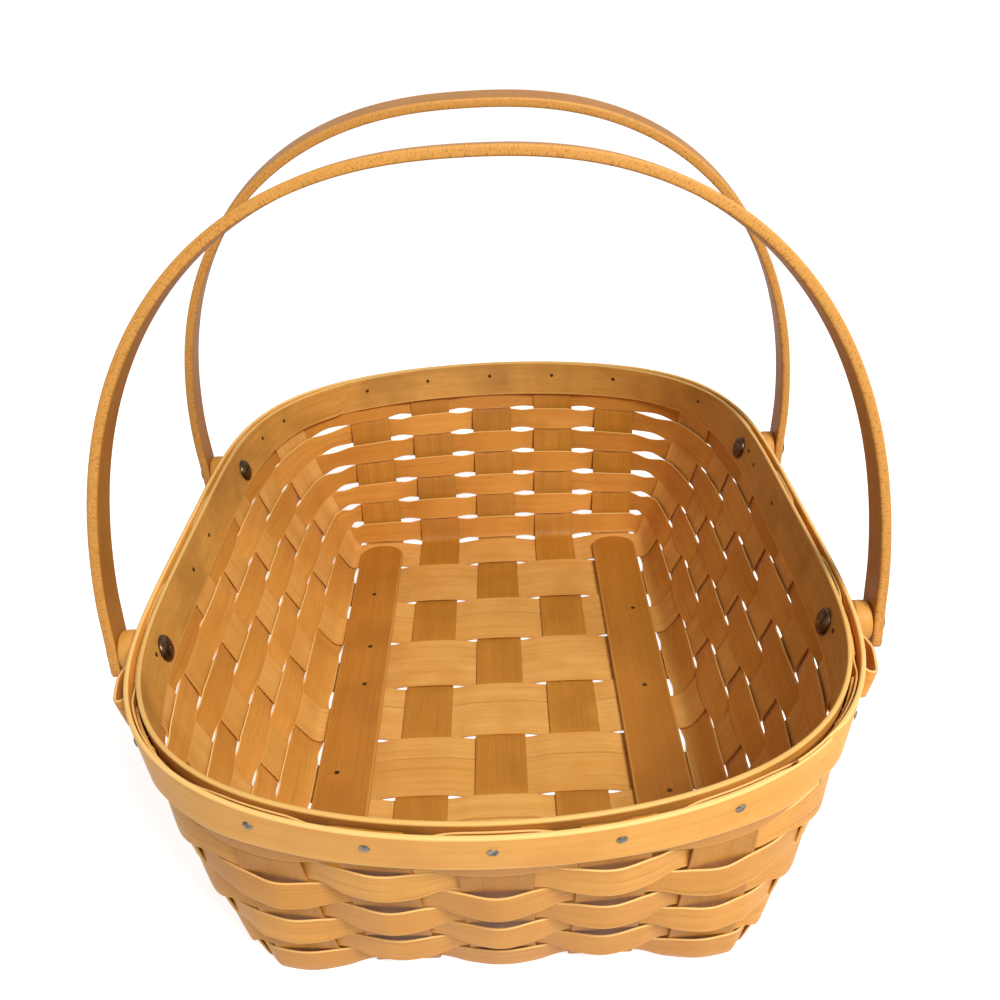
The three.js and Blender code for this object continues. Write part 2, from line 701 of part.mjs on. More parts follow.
// Each end's stakes and each corner's side stake have a tack
const endPlaces = [...Array(longStakes).keys()].flatMap((k) => [k, nearIndex(k)]);
const rightCorners = [longStakes, longStakes + crossStakes - 1];
const leftCorners = [2 * longStakes + crossStakes, places.length - 1];
const tackPlaces = [...endPlaces, ...rightCorners, ...leftCorners];
const tackName = (index) => {
  if (index < longStakes) return `far_tack_${index + 1}`;
  if (index < longStakes + crossStakes) return `right_tack_${index - longStakes + 1}`;
  if (index < 2 * longStakes + crossStakes) return `near_tack_${2 * longStakes + crossStakes - index}`;
  return `left_tack_${places.length - index}`;
};
const through = 15; // how far each side of the wall a hole's cutting tool reaches
const tackHoles = (index) => tackTool(index, tackRadius + tackHole, -through, through, 5);
const rivetTools = pivots.map((pivot) =>
  shankTool(pivot, rivetRadius + rivetHole, wallX(pivot) - through, wallX(pivot) + through),
);

// The assembly

const withHoles = (geometry, ends) => {
  const holes = ends.filter((index) => tackPlaces.includes(index)).map(tackHoles);
  return holes.length ? cut(geometry, holes) : geometry;
};
for (let k = 0; k < longStakes; k++) {
  add(`long_stake_${k + 1}`, withHoles(longStake(k), [k, nearIndex(k)]), colours.stake);
}
for (let j = 0; j < crossStakes; j++) {
  const ends = [longStakes + j, places.length - 1 - j];
  add(`cross_stake_${j + 1}`, withHoles(crossStake(j), ends), colours.crossStake);
  if (j > 0) add(`floor_filler_${j}`, filler(j), colours.crossStake);
}
for (let row = 0; row < rows; row++) {
  const ring = weaverRing(row);
  const name = row === rows - 1 ? "top_weaver" : `wall_weaver_${row + 1}`;
  const tools = row >= rows - 2 ? [...rivetTools] : [];
  if (row === rows - 1) tools.push(...tackPlaces.map(tackHoles));
  add(name, tools.length ? cut(ring, tools) : ring, colours.weaver);
}
const bandTools = [...rivetTools, ...tackPlaces.map(tackHoles)];
// The inner band's lap ends at the far wall's leftmost stake, the outer band's is at the near right corner
const lapInner = ringStations.length - (lapStations - 1);
const lapOuter = ringStations.findIndex(({ place, corner }) => corner && place === rightCorners[1]);
add("inner_band", cut(band(-bandInset - innerBandThickness, -bandInset, lapInner), bandTools), colours.band);
add("outer_band", cut(band(bandInset, bandInset + outerBandThickness, lapOuter), bandTools), colours.band);
add("left_runner", runner(-1), colours.runner);
add("right_runner", runner(1), colours.runner);
for (const [name, side] of [["left_side_strip", -1], ["right_side_strip", 1]]) {
  add(name, cut(sideStrip(side), rivetTools), colours.weaver);
}
for (const pivot of pivots) {
  add(`${pivotName(pivot)}_rivet`, rivet(pivot), colours.rivet);
  add(`${pivotName(pivot)}_washer`, washer(pivot), colours.washer);
}
handle(-1);
handle(1);
for (const index of tackPlaces) add(tackName(index), tack(index), colours.tack);

export default group;
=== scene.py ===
# %% [markdown]
# # A gathering basket of woven splints
# The real basket is woven of thin, flat strips of hardwood called splints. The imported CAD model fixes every
# size. Here each strip is modelled again with its springy curves, cut edges and grain, and rides on the
# same body as the solid that it stands for.

# %% Load the frame
import json
import math

import bmesh
import bpy
import numpy as np
from mathutils import Matrix, Vector


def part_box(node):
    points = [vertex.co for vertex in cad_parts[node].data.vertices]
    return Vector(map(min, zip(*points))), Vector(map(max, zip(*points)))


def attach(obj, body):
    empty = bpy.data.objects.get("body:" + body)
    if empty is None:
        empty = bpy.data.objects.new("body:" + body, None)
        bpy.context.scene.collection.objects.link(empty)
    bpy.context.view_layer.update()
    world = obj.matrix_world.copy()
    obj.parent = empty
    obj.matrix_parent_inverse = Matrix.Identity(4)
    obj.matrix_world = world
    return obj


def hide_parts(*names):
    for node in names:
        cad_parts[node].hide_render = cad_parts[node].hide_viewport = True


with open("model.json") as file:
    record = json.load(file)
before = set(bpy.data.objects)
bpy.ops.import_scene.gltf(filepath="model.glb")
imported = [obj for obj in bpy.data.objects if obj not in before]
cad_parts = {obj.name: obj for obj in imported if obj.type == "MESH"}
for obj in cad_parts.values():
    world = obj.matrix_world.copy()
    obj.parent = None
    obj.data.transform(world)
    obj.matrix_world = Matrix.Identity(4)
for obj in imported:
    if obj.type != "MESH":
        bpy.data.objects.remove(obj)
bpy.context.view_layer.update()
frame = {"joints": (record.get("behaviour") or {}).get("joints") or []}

MM = 0.001

# %% [markdown]
# ## The camera
# The photograph was taken from above one short end, close to the basket, so near and far sizes differ a lot.
# The lens, the place and the three turns below came from fitting a pinhole camera to marked points of the
# floor's grid, the rim and the handles. A small shift stands for the crop of the picture.

# %% Camera
IMAGE = 1000
SENSOR = 36.0
FOCAL_PIXELS = 1036.0
CENTRE_PIXEL = (482.6, 514.0)
CAMERA_PLACE = Vector((11.0, -439.5, 360.1)) * MM
YAW, PITCH, ROLL = -0.033, 0.512, -0.060
NEAREST_SEEN = 0.01  # metres


def add_object(name, data):
    made = bpy.data.objects.new(name, data)
    bpy.context.scene.collection.objects.link(made)
    return made


def camera_turn(yaw, pitch, roll):
    forward = Vector((math.sin(yaw) * math.cos(pitch), math.cos(yaw) * math.cos(pitch), -math.sin(pitch)))
    level = Vector((math.cos(yaw), -math.sin(yaw), 0))
    upright = level.cross(forward)
    right = math.cos(roll) * level + math.sin(roll) * upright
    up = -math.sin(roll) * level + math.cos(roll) * upright
    return Matrix((right, up, -forward)).transposed().to_4x4()


camera_data = bpy.data.cameras.new("camera")
camera_data.sensor_width = SENSOR
camera_data.lens = FOCAL_PIXELS / IMAGE * SENSOR
camera_data.shift_x = (IMAGE / 2 - CENTRE_PIXEL[0]) / IMAGE
camera_data.shift_y = (CENTRE_PIXEL[1] - IMAGE / 2) / IMAGE
camera_data.clip_start = NEAREST_SEEN
camera = add_object("camera", camera_data)
camera.matrix_world = Matrix.Translation(CAMERA_PLACE) @ camera_turn(YAW, PITCH, ROLL)
bpy.context.scene.camera = camera
print("lens:", round(camera_data.lens, 1), "mm")

# %% [markdown]
# ## Sizes
# The basket's driving sizes in millimetres. The rim, the height and the pivots are read from the packed
# nodes, so they follow the CAD model. The strips' widths and the rows' spacing are the weaver's own choices.

# %% Sizes
def node_box(name):
    low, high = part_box(name)
    return np.array(low) / MM, np.array(high) / MM


rim_high = node_box("outer_band")[1]
CHORD = np.array([0.15, 0.48])  # how far the solid band's straight facets fall short of the curve
RIM_HALF_WIDTH, RIM_HALF_LENGTH = rim_high[:2] + CHORD
RIM_HEIGHT = rim_high[2]
SIDE_EXPONENT, END_EXPONENT = 2.0, 4.4
FOOT_CORNER, FOOT_BEND = 9.0, 4.0
SIDE_BULGE, END_BULGE = 5.5, 2.0

LONG_STAKES, CROSS_STAKES = 5, 8
STAKE_WIDTH, STAKE_THICKNESS = 25.4, 0.9
LONG_GAP = 12.7
END_STAKE_WIDTH, FILLER_WIDTH = 29.0, 15.2
SEAM, ROW_GAP = 0.3, 0.6
WEAVER_PITCH, WEAVER_WIDTH, WEAVER_THICKNESS = 14.55, 12.2, 0.75
ROWS, FIRST_ROW = 8, 2.3 + 6.35
CLEARANCE, SPARE = 0.25, 0.05  # air between two strips that cross, and a little more on the floor
EDGE_CLEARANCE = 0.6  # how far beyond an edge the crossing strip bends
LONG_WAVE, WALL_WAVE = 0.4, 0.3
RIM_FAN = 1.09
SIDE_MARGIN, END_MARGIN = 6.6, 2.5
BAND_WIDTH, BAND_THICKNESS, BAND_CLEARANCE = 21.0, 1.9, 0.4
WALL_SLANT = 119.0

LONG_PITCH = STAKE_WIDTH + LONG_GAP
CROSS_PITCH = STAKE_WIDTH + SEAM + FILLER_WIDTH + ROW_GAP
CROSS_WAVE = STAKE_THICKNESS + CLEARANCE + SPARE - LONG_WAVE
WEAVER_WAVE = (STAKE_THICKNESS + WEAVER_THICKNESS) / 2 + CLEARANCE - WALL_WAVE
FLOOR_HEIGHT = CROSS_WAVE + STAKE_THICKNESS / 2
BAND_INSET = WEAVER_WAVE + WEAVER_THICKNESS / 2 + BAND_CLEARANCE
BAND_FACE = BAND_INSET + BAND_THICKNESS
FOOT_HALF_WIDTH = ((LONG_STAKES - 1) * LONG_PITCH + STAKE_WIDTH) / 2 + SIDE_MARGIN
FLOOR_HALF_LENGTH = ((CROSS_STAKES - 1) * CROSS_PITCH - STAKE_WIDTH) / 2 + END_STAKE_WIDTH
FOOT_HALF_LENGTH = FLOOR_HALF_LENGTH + END_MARGIN

PIVOTS = {j["child"]: np.array(j["pos_m"]) / MM for j in frame["joints"]}
PIVOT_SPACING = PIVOTS["back_handle"][1] - PIVOTS["front_handle"][1]
PIVOT_HEIGHT = PIVOTS["front_handle"][2]
SIDE_NAMES, END_NAMES = {-1: "left", 1: "right"}, {-1: "front", 1: "back"}
print("rim:", 2 * RIM_HALF_WIDTH, "by", 2 * RIM_HALF_LENGTH, "mm, height", RIM_HEIGHT)
print("pivots:", PIVOT_SPACING, "mm apart,", PIVOT_HEIGHT, "mm up")

# %% [markdown]
# ## The wall as a surface
# All strips of the wall follow one surface between two outlines: the floor's rounded rectangle below and the
# rim's superellipse above. A point on it is given by its length round the foot, its length round the rim and
# its distance up the slope, so a strip is a ribbon of that surface, a little inside or outside of it.

# %% Outlines
def unit(v):
    return v / np.linalg.norm(v, axis=-1, keepdims=True)


def path_lengths(points, extra=0):
    """How far along a path each of its points lies."""
    steps = np.linalg.norm(np.diff(points, axis=0), axis=1) + extra
    return np.concatenate([[0], np.cumsum(steps)])


class Outline:
    """A closed outline in plan, measured clockwise from the middle of the far end."""

    def __init__(self, points):
        self.points = np.vstack([points, points[:1]])
        self.lengths = path_lengths(self.points)
        self.perimeter = self.lengths[-1]

    def at(self, length):
        s = np.mod(length, self.perimeter)
        x = np.interp(s, self.lengths, self.points[:, 0])
        y = np.interp(s, self.lengths, self.points[:, 1])
        return np.stack([x, y], -1)

    def outward(self, length, probe=0.5):
        along = unit(self.at(length + probe) - self.at(length - probe))
        return np.stack([-along[..., 1], along[..., 0]], -1)


def superellipse(half_length, half_width, count=1440, halvings=40):
    angle = 2 * np.pi * np.arange(count) / count
    ray = np.stack([np.sin(angle), np.cos(angle)], 1)
    low, high = np.zeros(count), np.full(count, 2 * half_length)
    for _ in range(halvings):
        reach = (low + high) / 2
        side = np.abs(reach * ray[:, 0] / half_width) ** SIDE_EXPONENT
        end = np.abs(reach * ray[:, 1] / half_length) ** END_EXPONENT
        inside = side + end < 1
        low, high = np.where(inside, reach, low), np.where(inside, high, reach)
    return Outline(ray * low[:, None])


def rounded_rectangle(half_length, half_width, radius, steps=24):
    points = [(0.0, half_length)]
    for corner in range(4):
        x = (half_width - radius) * (1 if corner < 2 else -1)
        y = (half_length - radius) * (1 if corner in (0, 3) else -1)
        for i in range(steps + 1):
            angle = math.pi / 2 * (corner + i / steps)
            points.append((x + radius * math.sin(angle), y + radius * math.cos(angle)))
    return Outline(np.array(points))


FOOT = rounded_rectangle(FOOT_HALF_LENGTH, FOOT_HALF_WIDTH, FOOT_CORNER)
RIM = superellipse(RIM_HALF_LENGTH - BAND_FACE, RIM_HALF_WIDTH - BAND_FACE)
print("round the foot:", round(FOOT.perimeter), "mm, round the rim:", round(RIM.perimeter), "mm")

# %% The wall's surface
def with_height(plan, z):
    return np.concatenate([plan, np.full(plan.shape[:-1] + (1,), z)], -1)


def wall_point(foot_arc, rim_arc, s):
    foot_arc, rim_arc, s = np.broadcast_arrays(foot_arc, rim_arc, s)
    f, r = FOOT.at(foot_arc), RIM.at(rim_arc)
    base = with_height(f, FLOOR_HEIGHT)
    slope = with_height(r - f, RIM_HEIGHT - FLOOR_HEIGHT)
    slant = np.linalg.norm(slope, axis=-1)
    flat = with_height(FOOT.outward(foot_arc), 0.0)
    bulge = END_BULGE + (SIDE_BULGE - END_BULGE) * flat[..., 0] ** 2
    lean = (slope * flat).sum(-1)
    swell = unit(np.stack([flat[..., 0] * slope[..., 2], flat[..., 1] * slope[..., 2], -lean], -1))

    def swollen(distance):
        share = distance / slant
        height = 4 * bulge * share * (1 - share)
        return base + slope * share[..., None] + swell * height[..., None]

    distance = np.where(s > 0, s * slant / WALL_SLANT, s)
    share = np.clip((distance + FOOT_BEND) / (2 * FOOT_BEND), 0, 1)[..., None]
    inner = base - flat * FOOT_BEND
    outer = swollen(np.full_like(distance, FOOT_BEND))
    bent = inner * (1 - share) ** 2 + base * 2 * share * (1 - share) + outer * share**2
    point = np.where(distance[..., None] >= FOOT_BEND, swollen(distance), bent)
    return np.where(s[..., None] <= -FOOT_BEND, base + flat * s[..., None], point)


def wall_frame(foot_arc, rim_arc, s, step=1.5, rise=1):
    """A point of the surface and the direction out of the basket there."""
    across = wall_point(foot_arc + step, rim_arc + step, s) - wall_point(foot_arc - step, rim_arc - step, s)
    up = wall_point(foot_arc, rim_arc, s + rise) - wall_point(foot_arc, rim_arc, s - rise)
    return wall_point(foot_arc, rim_arc, s), -unit(np.cross(across, up))


def wall_spot(*where):
    """The same at a single place."""
    point, out = wall_frame(*(np.array([value]) for value in where))
    return point[0], out[0]


# %% Places where a stake climbs the wall
QUARTER_FOOT, QUARTER_RIM = FOOT.perimeter / 4, RIM.perimeter / 4


def cross_width(j):
    return END_STAKE_WIDTH if j in (0, CROSS_STAKES - 1) else STAKE_WIDTH


def far_edge(j):
    return FLOOR_HALF_LENGTH if j == 0 else ((CROSS_STAKES - 1) / 2 - j) * CROSS_PITCH + STAKE_WIDTH / 2


def near_edge(j):
    return far_edge(j) - cross_width(j)


long_x = [(k - (LONG_STAKES - 1) / 2) * LONG_PITCH for k in range(LONG_STAKES)]
half_round = [(x, x * RIM_FAN, STAKE_WIDTH) for x in long_x]
for j in range(CROSS_STAKES):
    middle = (far_edge(j) + near_edge(j)) / 2
    rim_y = ((CROSS_STAKES - 1) / 2 - j) * PIVOT_SPACING / 4
    half_round.append((QUARTER_FOOT - middle, QUARTER_RIM - rim_y, cross_width(j)))
PLACES = half_round + [(f + 2 * QUARTER_FOOT, r + 2 * QUARTER_RIM, w) for f, r, w in half_round]
FAR = list(range(LONG_STAKES))
RIGHT = [LONG_STAKES + j for j in range(CROSS_STAKES)]
NEAR = [2 * LONG_STAKES + CROSS_STAKES - 1 - k for k in range(LONG_STAKES)]
LEFT = [len(PLACES) - 1 - j for j in range(CROSS_STAKES)]

knots = np.array([(r + e * w / 2, f + e * w / 2) for f, r, w in PLACES for e in (-1, 1)])
laps = np.vstack([knots + np.array([RIM.perimeter, FOOT.perimeter]) * turn for turn in (-1, 0, 1, 2)])


def foot_arc_below(rim_arc):
    return np.interp(rim_arc, laps[:, 0], laps[:, 1])


def side_arcs(side, y):
    """Where y on a long side lies round the foot and round the rim."""
    quarter = 1 if side > 0 else 3
    foot_arc = quarter * QUARTER_FOOT - side * y * CROSS_PITCH / (PIVOT_SPACING / 4)
    return foot_arc, quarter * QUARTER_RIM - side * y


print("stakes stand at", len(PLACES), "places round the wall")

# %% [markdown]
# ## Skins and ribbons
# A splint is a long ribbon with a thin, rectangular section and slightly eased corners. One function skins
# rows of points, and another sweeps a strip's section along a path for it. There are two texture layouts:
# "grain" holds lengths in metres, along and across the strip, and "strip" holds a 1 at cut edges and the
# strip's own tone. So each finish can follow the real grain at its real size.

# %% Skin
SHARP_ANGLE = math.radians(40)


def skin(name, rows, grain, edge, tone, closed=False):
    """Joins rows of points, in millimetres, into a closed body. grain and edge have one more column."""
    count, around = rows.shape[:2]
    faces, corners = [], []
    for i in range(count if closed else count - 1):
        n = (i + 1) % count
        for c in range(around):
            d = (c + 1) % around
            faces.append((i * around + c, i * around + d, n * around + d, n * around + c))
            corners += [(i, c), (i, c + 1), (i + 1, c + 1), (i + 1, c)]
    if not closed:
        for i in (0, count - 1):
            faces.append(tuple(i * around + c for c in range(around)))
            corners += [(i, c) for c in range(around)]
    i, c = np.array(corners).T
    mesh = bpy.data.meshes.new(name)
    mesh.from_pydata((rows.reshape(-1, 3) * MM).tolist(), [], faces)
    strip = np.stack([edge[i, c], np.full(len(i), tone)], 1)
    for layer, values in (("grain", grain[i, c] * MM), ("strip", strip)):
        uv = mesh.uv_layers.new(name=layer)
        uv.data.foreach_set("uv", values.astype(np.float32).ravel())
    model = bmesh.new()
    model.from_mesh(mesh)
    bmesh.ops.recalc_face_normals(model, faces=model.faces)
    model.to_mesh(mesh)
    model.free()
    return mesh


def finish_piece(name, mesh, material, slot, *nodes, body="basket"):
    """Makes a mesh a piece that rides on a body, in the place of the CAD nodes that are named."""
    obj = add_object("dressed_" + name, mesh)
    mesh.materials.append(material)
    mesh.shade_smooth()
    mesh.set_sharp_from_angle(angle=SHARP_ANGLE)
    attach(obj, body)
    if nodes:
        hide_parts(*nodes)


# %% Ribbon
GRAIN_SPREAD, TURNED_SPREAD = 900, 300  # a piece's grain starts anywhere in this length


def thin_edge(thickness, ease=0.25, flat=0.3):
    half = thickness / 2
    return [(ease, half), (0.0, flat * half), (0.0, -flat * half), (ease, -half)]


def round_edge(thickness, radius, steps=3):
    half = thickness / 2
    turn = [math.pi / 2 * i / steps for i in range(steps + 1)]
    top = [(radius * (1 - math.sin(a)), half - radius * (1 - math.cos(a))) for a in turn]
    return top + [(inset, -height) for inset, height in reversed(top)]


def rounded_end(half_width, radius, from_end):
    """Half the width of a strip with rounded ends, at a distance from its end."""
    into = np.clip(radius - from_end, 0, radius)
    return half_width - radius + np.sqrt(radius**2 - into**2)


def ribbon(name, place, low, high, edge, tone, columns=5, closed=False):
    """place(x, h) gives the path's points at x across the strip and h out of it, in millimetres."""
    inner = [0.5 - 0.5 * math.cos(math.pi * (i + 1) / (columns + 1)) for i in range(columns)]
    half = edge[0][1]
    section = [(0, inset, h, 1) for inset, h in edge[::-1]] + [(share, 0, half, 0) for share in inner]
    section += [(1, -inset, h, 1) for inset, h in edge] + [(share, 0, -half, 0) for share in inner[::-1]]
    rows = np.stack([place(low + (high - low) * share + inset, h) for share, inset, h, _ in section], 1)
    middle = place((low + high) / 2, 0.0)
    along = path_lengths(np.vstack([middle, middle[:1]]))[: len(rows) + closed]
    width = np.mean(high - low)
    across = np.array([width * share + inset + (h < 0) * width for share, inset, h, _ in section])
    across = np.append(across, across[0])
    start = rng.uniform(0, GRAIN_SPREAD, 2)
    grain = np.stack(np.broadcast_arrays(along[:, None] + start[0], across + start[1]), -1)
    cut = np.array([mark for *_, mark in section] + [1.0])
    cut = np.broadcast_to(cut, grain.shape[:2])
    return skin(name, rows, grain, cut, tone, closed)


# %% Smooth curves
def smooth_curve(x, knots_x, knots_y, period=None):
    """A curve through the knots that never overshoots them."""
    kx, ky = np.asarray(knots_x, float), np.asarray(knots_y, float)
    if period:
        kx = np.concatenate([kx - period, kx, kx + period])
        ky = np.tile(ky, 3)
    gap = np.diff(kx)
    slope = np.diff(ky) / gap
    tangent = np.zeros(len(kx))
    same = slope[:-1] * slope[1:] > 0
    tangent[1:-1][same] = 2 * slope[:-1][same] * slope[1:][same] / (slope[:-1] + slope[1:])[same]
    i = np.clip(np.searchsorted(kx, x) - 1, 0, len(gap) - 1)
    t = np.clip((x - kx[i]) / gap[i], 0, 1)
    start = (1 + 2 * t) * (1 - t) ** 2 * ky[i] + t * (1 - t) ** 2 * gap[i] * tangent[i]
    return start + t**2 * (3 - 2 * t) * ky[i + 1] - t**2 * (1 - t) * gap[i] * tangent[i + 1]


def smoothstep(low, high, x):
    t = np.clip((x - low) / (high - low), 0, 1)
    return t * t * (3 - 2 * t)


def soften(points, samples=1.5, closed=False):
    """Rounds off a path by a running bell-shaped average."""
    reach = int(3 * samples) + 1
    weights = np.exp(-0.5 * (np.arange(-reach, reach + 1) / samples) ** 2)
    weights /= weights.sum()
    padded = np.pad(points, [(reach, reach), (0, 0)], mode="wrap" if closed else "edge")
    return sum(w * padded[i : i + len(points)] for i, w in enumerate(weights))


rng = np.random.default_rng(7)
print("ribbon tools ready")

# %% [markdown]
# ## Wood as a finish
# The splints are split and shaved from a ring-porous hardwood such as ash or oak. The eye sees a fine,
# lengthwise fibre, darker pore lines of the early wood, short flecks, and a satin sheen from age. Noise is
# stretched along each strip for them, by the "grain" layout, so that it bends with the strip.

# %% Colours and nodes
def linear(code):
    """An sRGB hex colour as linear values."""
    parts = [int(code[i : i + 2], 16) / 255 for i in (1, 3, 5)]
    return tuple(c / 12.92 if c <= 0.04045 else ((c + 0.055) / 1.055) ** 2.4 for c in parts) + (1.0,)


def node(tree, kind, sockets=None, **settings):
    """Adds a node. Each socket gets a value, or a link from another node's output."""
    made = tree.nodes.new(kind)
    for key, value in settings.items():
        setattr(made, key, value)
    for key, value in (sockets or {}).items():
        if isinstance(value, bpy.types.NodeSocket):
            tree.links.new(value, made.inputs[key])
        else:
            made.inputs[key].default_value = value
    return made


def maths(tree, operation, first, second):
    return node(tree, "ShaderNodeMath", {0: first, 1: second}, operation=operation).outputs["Value"]


def noise(tree, **sockets):
    return node(tree, "ShaderNodeTexNoise", sockets).outputs["Fac"]


def bump(tree, height, strength, depth):
    """The normal of a relief whose depth is in millimetres."""
    sockets = {"Height": height, "Strength": strength, "Distance": depth * MM}
    return node(tree, "ShaderNodeBump", sockets).outputs["Normal"]


def with_tree(owner):
    """A material or world, and its emptied node tree."""
    owner.use_nodes = True
    owner.node_tree.nodes.clear()
    return owner, owner.node_tree


def new_material(name):
    return with_tree(bpy.data.materials.new(name))


def end_material(tree, surface):
    shader = node(tree, "ShaderNodeBsdfPrincipled", surface)
    node(tree, "ShaderNodeOutputMaterial", {"Surface": shader.outputs["BSDF"]})


# Sizes of the wood's figure in millimetres, along and across the grain. Real fibres are finer than a render
# can show, so the fibre is about three times as coarse.
FIBRE = (26.0, 0.55)
PORE_LINE = (70.0, 1.5)
FLECK = (5.0, 0.5)
STREAK = (160.0, 5.0)
SAW_MARK = (0.5, 9.0)
BLOTCH = 30.0

# The span of each noise over which its part sets in, and the strength of some parts
FIBRE_SPAN, STREAK_SPAN, PORE_SPAN = (0.3, 0.7), (0.25, 0.7), (0.56, 0.68)
FLECK_SPAN, BLOTCH_SPAN, SAW_SPAN = (0.62, 0.74), (0.42, 0.72), (0.5, 0.7)
# The last span and the last share set where and how strongly shade and highlight are painted along the cut
# edges
EDGE_SPAN, PAINTED_EDGE_SPAN = (0.5, 1.0), (0.1, 0.5)
TONE_SHARE, BLOTCH_SHARE, PAINTED_EDGE_SHARE = 0.85, 0.55, 0.8
FIBRE_RELIEF, PORE_RELIEF = 0.6, -0.5
WOOD_IOR = 1.53


def per_metre(lengths):
    return tuple(1000 / length for length in lengths) + (1.0,)


# %% Wood
def wood(name, pale, dark, tinted, pore, edge, pores=0.22, flecks=0.25, rough=0.5, relief=0.1, saw=0.0):
    """Wood in a thin strip. Its grain runs from pale to dark, and tinted is the darkest strip's colour."""
    material, tree = new_material(name)
    grain = node(tree, "ShaderNodeUVMap", uv_map="grain").outputs["UV"]
    strip = node(tree, "ShaderNodeUVMap", uv_map="strip").outputs["UV"]
    mark = node(tree, "ShaderNodeSeparateXYZ", {"Vector": strip})
    cut_edge, tone = mark.outputs["X"], mark.outputs["Y"]

    def figure(scale, detail, roughness=0.55):
        stretched = node(tree, "ShaderNodeMapping", {"Vector": grain, "Scale": per_metre(scale)})
        return noise(tree, Vector=stretched.outputs["Vector"], Scale=1.0, Detail=detail, Roughness=roughness)

    def ramp(value, span):
        limits = {"Value": value, "From Min": span[0], "From Max": span[1]}
        return node(tree, "ShaderNodeMapRange", limits, interpolation_type="SMOOTHSTEP").outputs["Result"]

    def blend(share, first, code):
        sockets = {0: share, 6: first, 7: linear(code)}
        return node(tree, "ShaderNodeMix", sockets, data_type="RGBA").outputs[2]

    def times(value, by):
        return maths(tree, "MULTIPLY", value, by)

    def plus(value, other):
        return maths(tree, "ADD", value, other)

    fibre = figure(FIBRE, 4.0, 0.65)
    streak = figure(STREAK, 3.0)
    pore_line = figure(PORE_LINE, 3.0, 0.6)
    fleck = figure(FLECK, 1.0)
    place = node(tree, "ShaderNodeTexCoord").outputs["Object"]
    blotch = noise(tree, Vector=place, Scale=1000 / BLOTCH, Detail=2.0)

    figure_share = plus(ramp(fibre, FIBRE_SPAN), ramp(streak, STREAK_SPAN))
    # Painted shade and painted highlight along the cut edges, broken into streaks: the edge colour is darker
    # than the wood on the stakes and lighter on the other strips
    painted_edge = times(ramp(cut_edge, EDGE_SPAN), ramp(streak, PAINTED_EDGE_SPAN))
    colour = linear(pale)
    for share, strength, code in (
        (figure_share, 0.5, dark),
        (tone, TONE_SHARE, tinted),
        (ramp(pore_line, PORE_SPAN), pores, pore),
        (ramp(fleck, FLECK_SPAN), flecks, pore),
        (ramp(blotch, BLOTCH_SPAN), BLOTCH_SHARE, tinted),
        (painted_edge, PAINTED_EDGE_SHARE, edge),
    ):
        colour = blend(times(share, strength), colour, code)
    height = plus(times(fibre, FIBRE_RELIEF), times(pore_line, PORE_RELIEF))
    if saw:
        marks = times(times(ramp(figure(SAW_MARK, 2.0), SAW_SPAN), cut_edge), saw)
        colour = blend(marks, colour, pore)
        height = plus(height, times(marks, -1.0))
    matt = node(tree, "ShaderNodeMapRange", {"Value": fibre, "To Min": rough - 0.1, "To Max": rough + 0.14})
    end_material(tree, {
        "Base Color": colour,
        "Roughness": matt.outputs["Result"],
        "IOR": WOOD_IOR,
        "Specular IOR Level": 0.3,
        "Normal": bump(tree, height, 0.5, relief),
    })
    return material


# The last colour of each wood is painted along its cut edges: painted shade on the long and cross stakes,
# painted highlight on the other strips
# Split ash, shaved smooth and darkened by age: honey brown, with fine pore lines
stake_wood = wood("split ash, aged honey", "#cd8b30", "#b4751d", "#a4671a", "#7a470e", "#b97c2c")
# Split ash that stayed paler: a straight, fine fibre with few pores
cross_wood = wood("split ash, pale", "#edb566", "#d99b46", "#cd8d38", "#9a6222", "#c98f44")
# Half-inch weavers of the same wood, more orange, with a few dark streaks
weaver_wood = wood("split ash, orange", "#efae56", "#d8943e", "#c5822f", "#8a5118", "#f8c97c", pores=0.3)
# Shaved rim bands: broad strips with long streaks, rubbed to a low sheen. The inner one is more speckled
outer_band_wood = wood("shaved oak rim", "#fab857", "#eba23d", "#df9431", "#a9691c", "#fed081")
speckled = "shaved oak rim, speckled"
inner_band_wood = wood(speckled, "#e4a852", "#cb8d3a", "#9f6c2a", "#78501a", "#efbe6c", flecks=0.5)
# Runners: thicker flat staves, darkened by wear and dirt
runner_wood = wood("shaved oak runner", "#cb8830", "#b37220", "#a5651a", "#6d400d", "#c98d3c")
# Handles: steam-bent strips sawn to width, so their narrow edges keep fine marks of the saw
handle_wood = wood("steam-bent oak", "#c4883a", "#aa6e26", "#9a601c", "#704410", "#db9b49", saw=0.6)
# Washers: turned from a dense pale wood
washer_wood = wood("turned maple", "#dfa452", "#cf8f3a", "#c2842e", "#aa6c20", "#e6b56c")
print("materials:", len(bpy.data.materials))

# %% [markdown]
# ## Metals
# The rivets are bronze with a dark brown patina in patches, with brighter metal between them. The tacks are
# steel that has gone dull and a little brown. Both are metals, so their colour is that of the reflection.

# %% Metals
def aged_metal(name, bright, dark, rough, spot):
    """Metal with stains and pits. spot is the size of a stain in millimetres."""
    material, tree = new_material(name)
    place = node(tree, "ShaderNodeTexCoord").outputs["Object"]
    stain = noise(tree, Vector=place, Scale=1000 / spot, Detail=5.0)
    pits = noise(tree, Vector=place, Scale=4000 / spot, Detail=3.0)
    colour = node(tree, "ShaderNodeValToRGB", {"Fac": stain})
    for stop, position, code in zip(colour.color_ramp.elements, (0.35, 0.7), (dark, bright)):
        stop.position = position
        stop.color = linear(code)
    limits = {"Value": stain, "From Min": 0.3, "From Max": 0.7}
    matt = node(tree, "ShaderNodeMapRange", limits | {"To Min": rough + 0.15, "To Max": rough - 0.1})
    end_material(tree, {
        "Base Color": colour.outputs["Color"],
        "Metallic": 1.0,
        "Roughness": matt.outputs["Result"],
        "Normal": bump(tree, pits, 0.4, 0.1),
    })
    return material


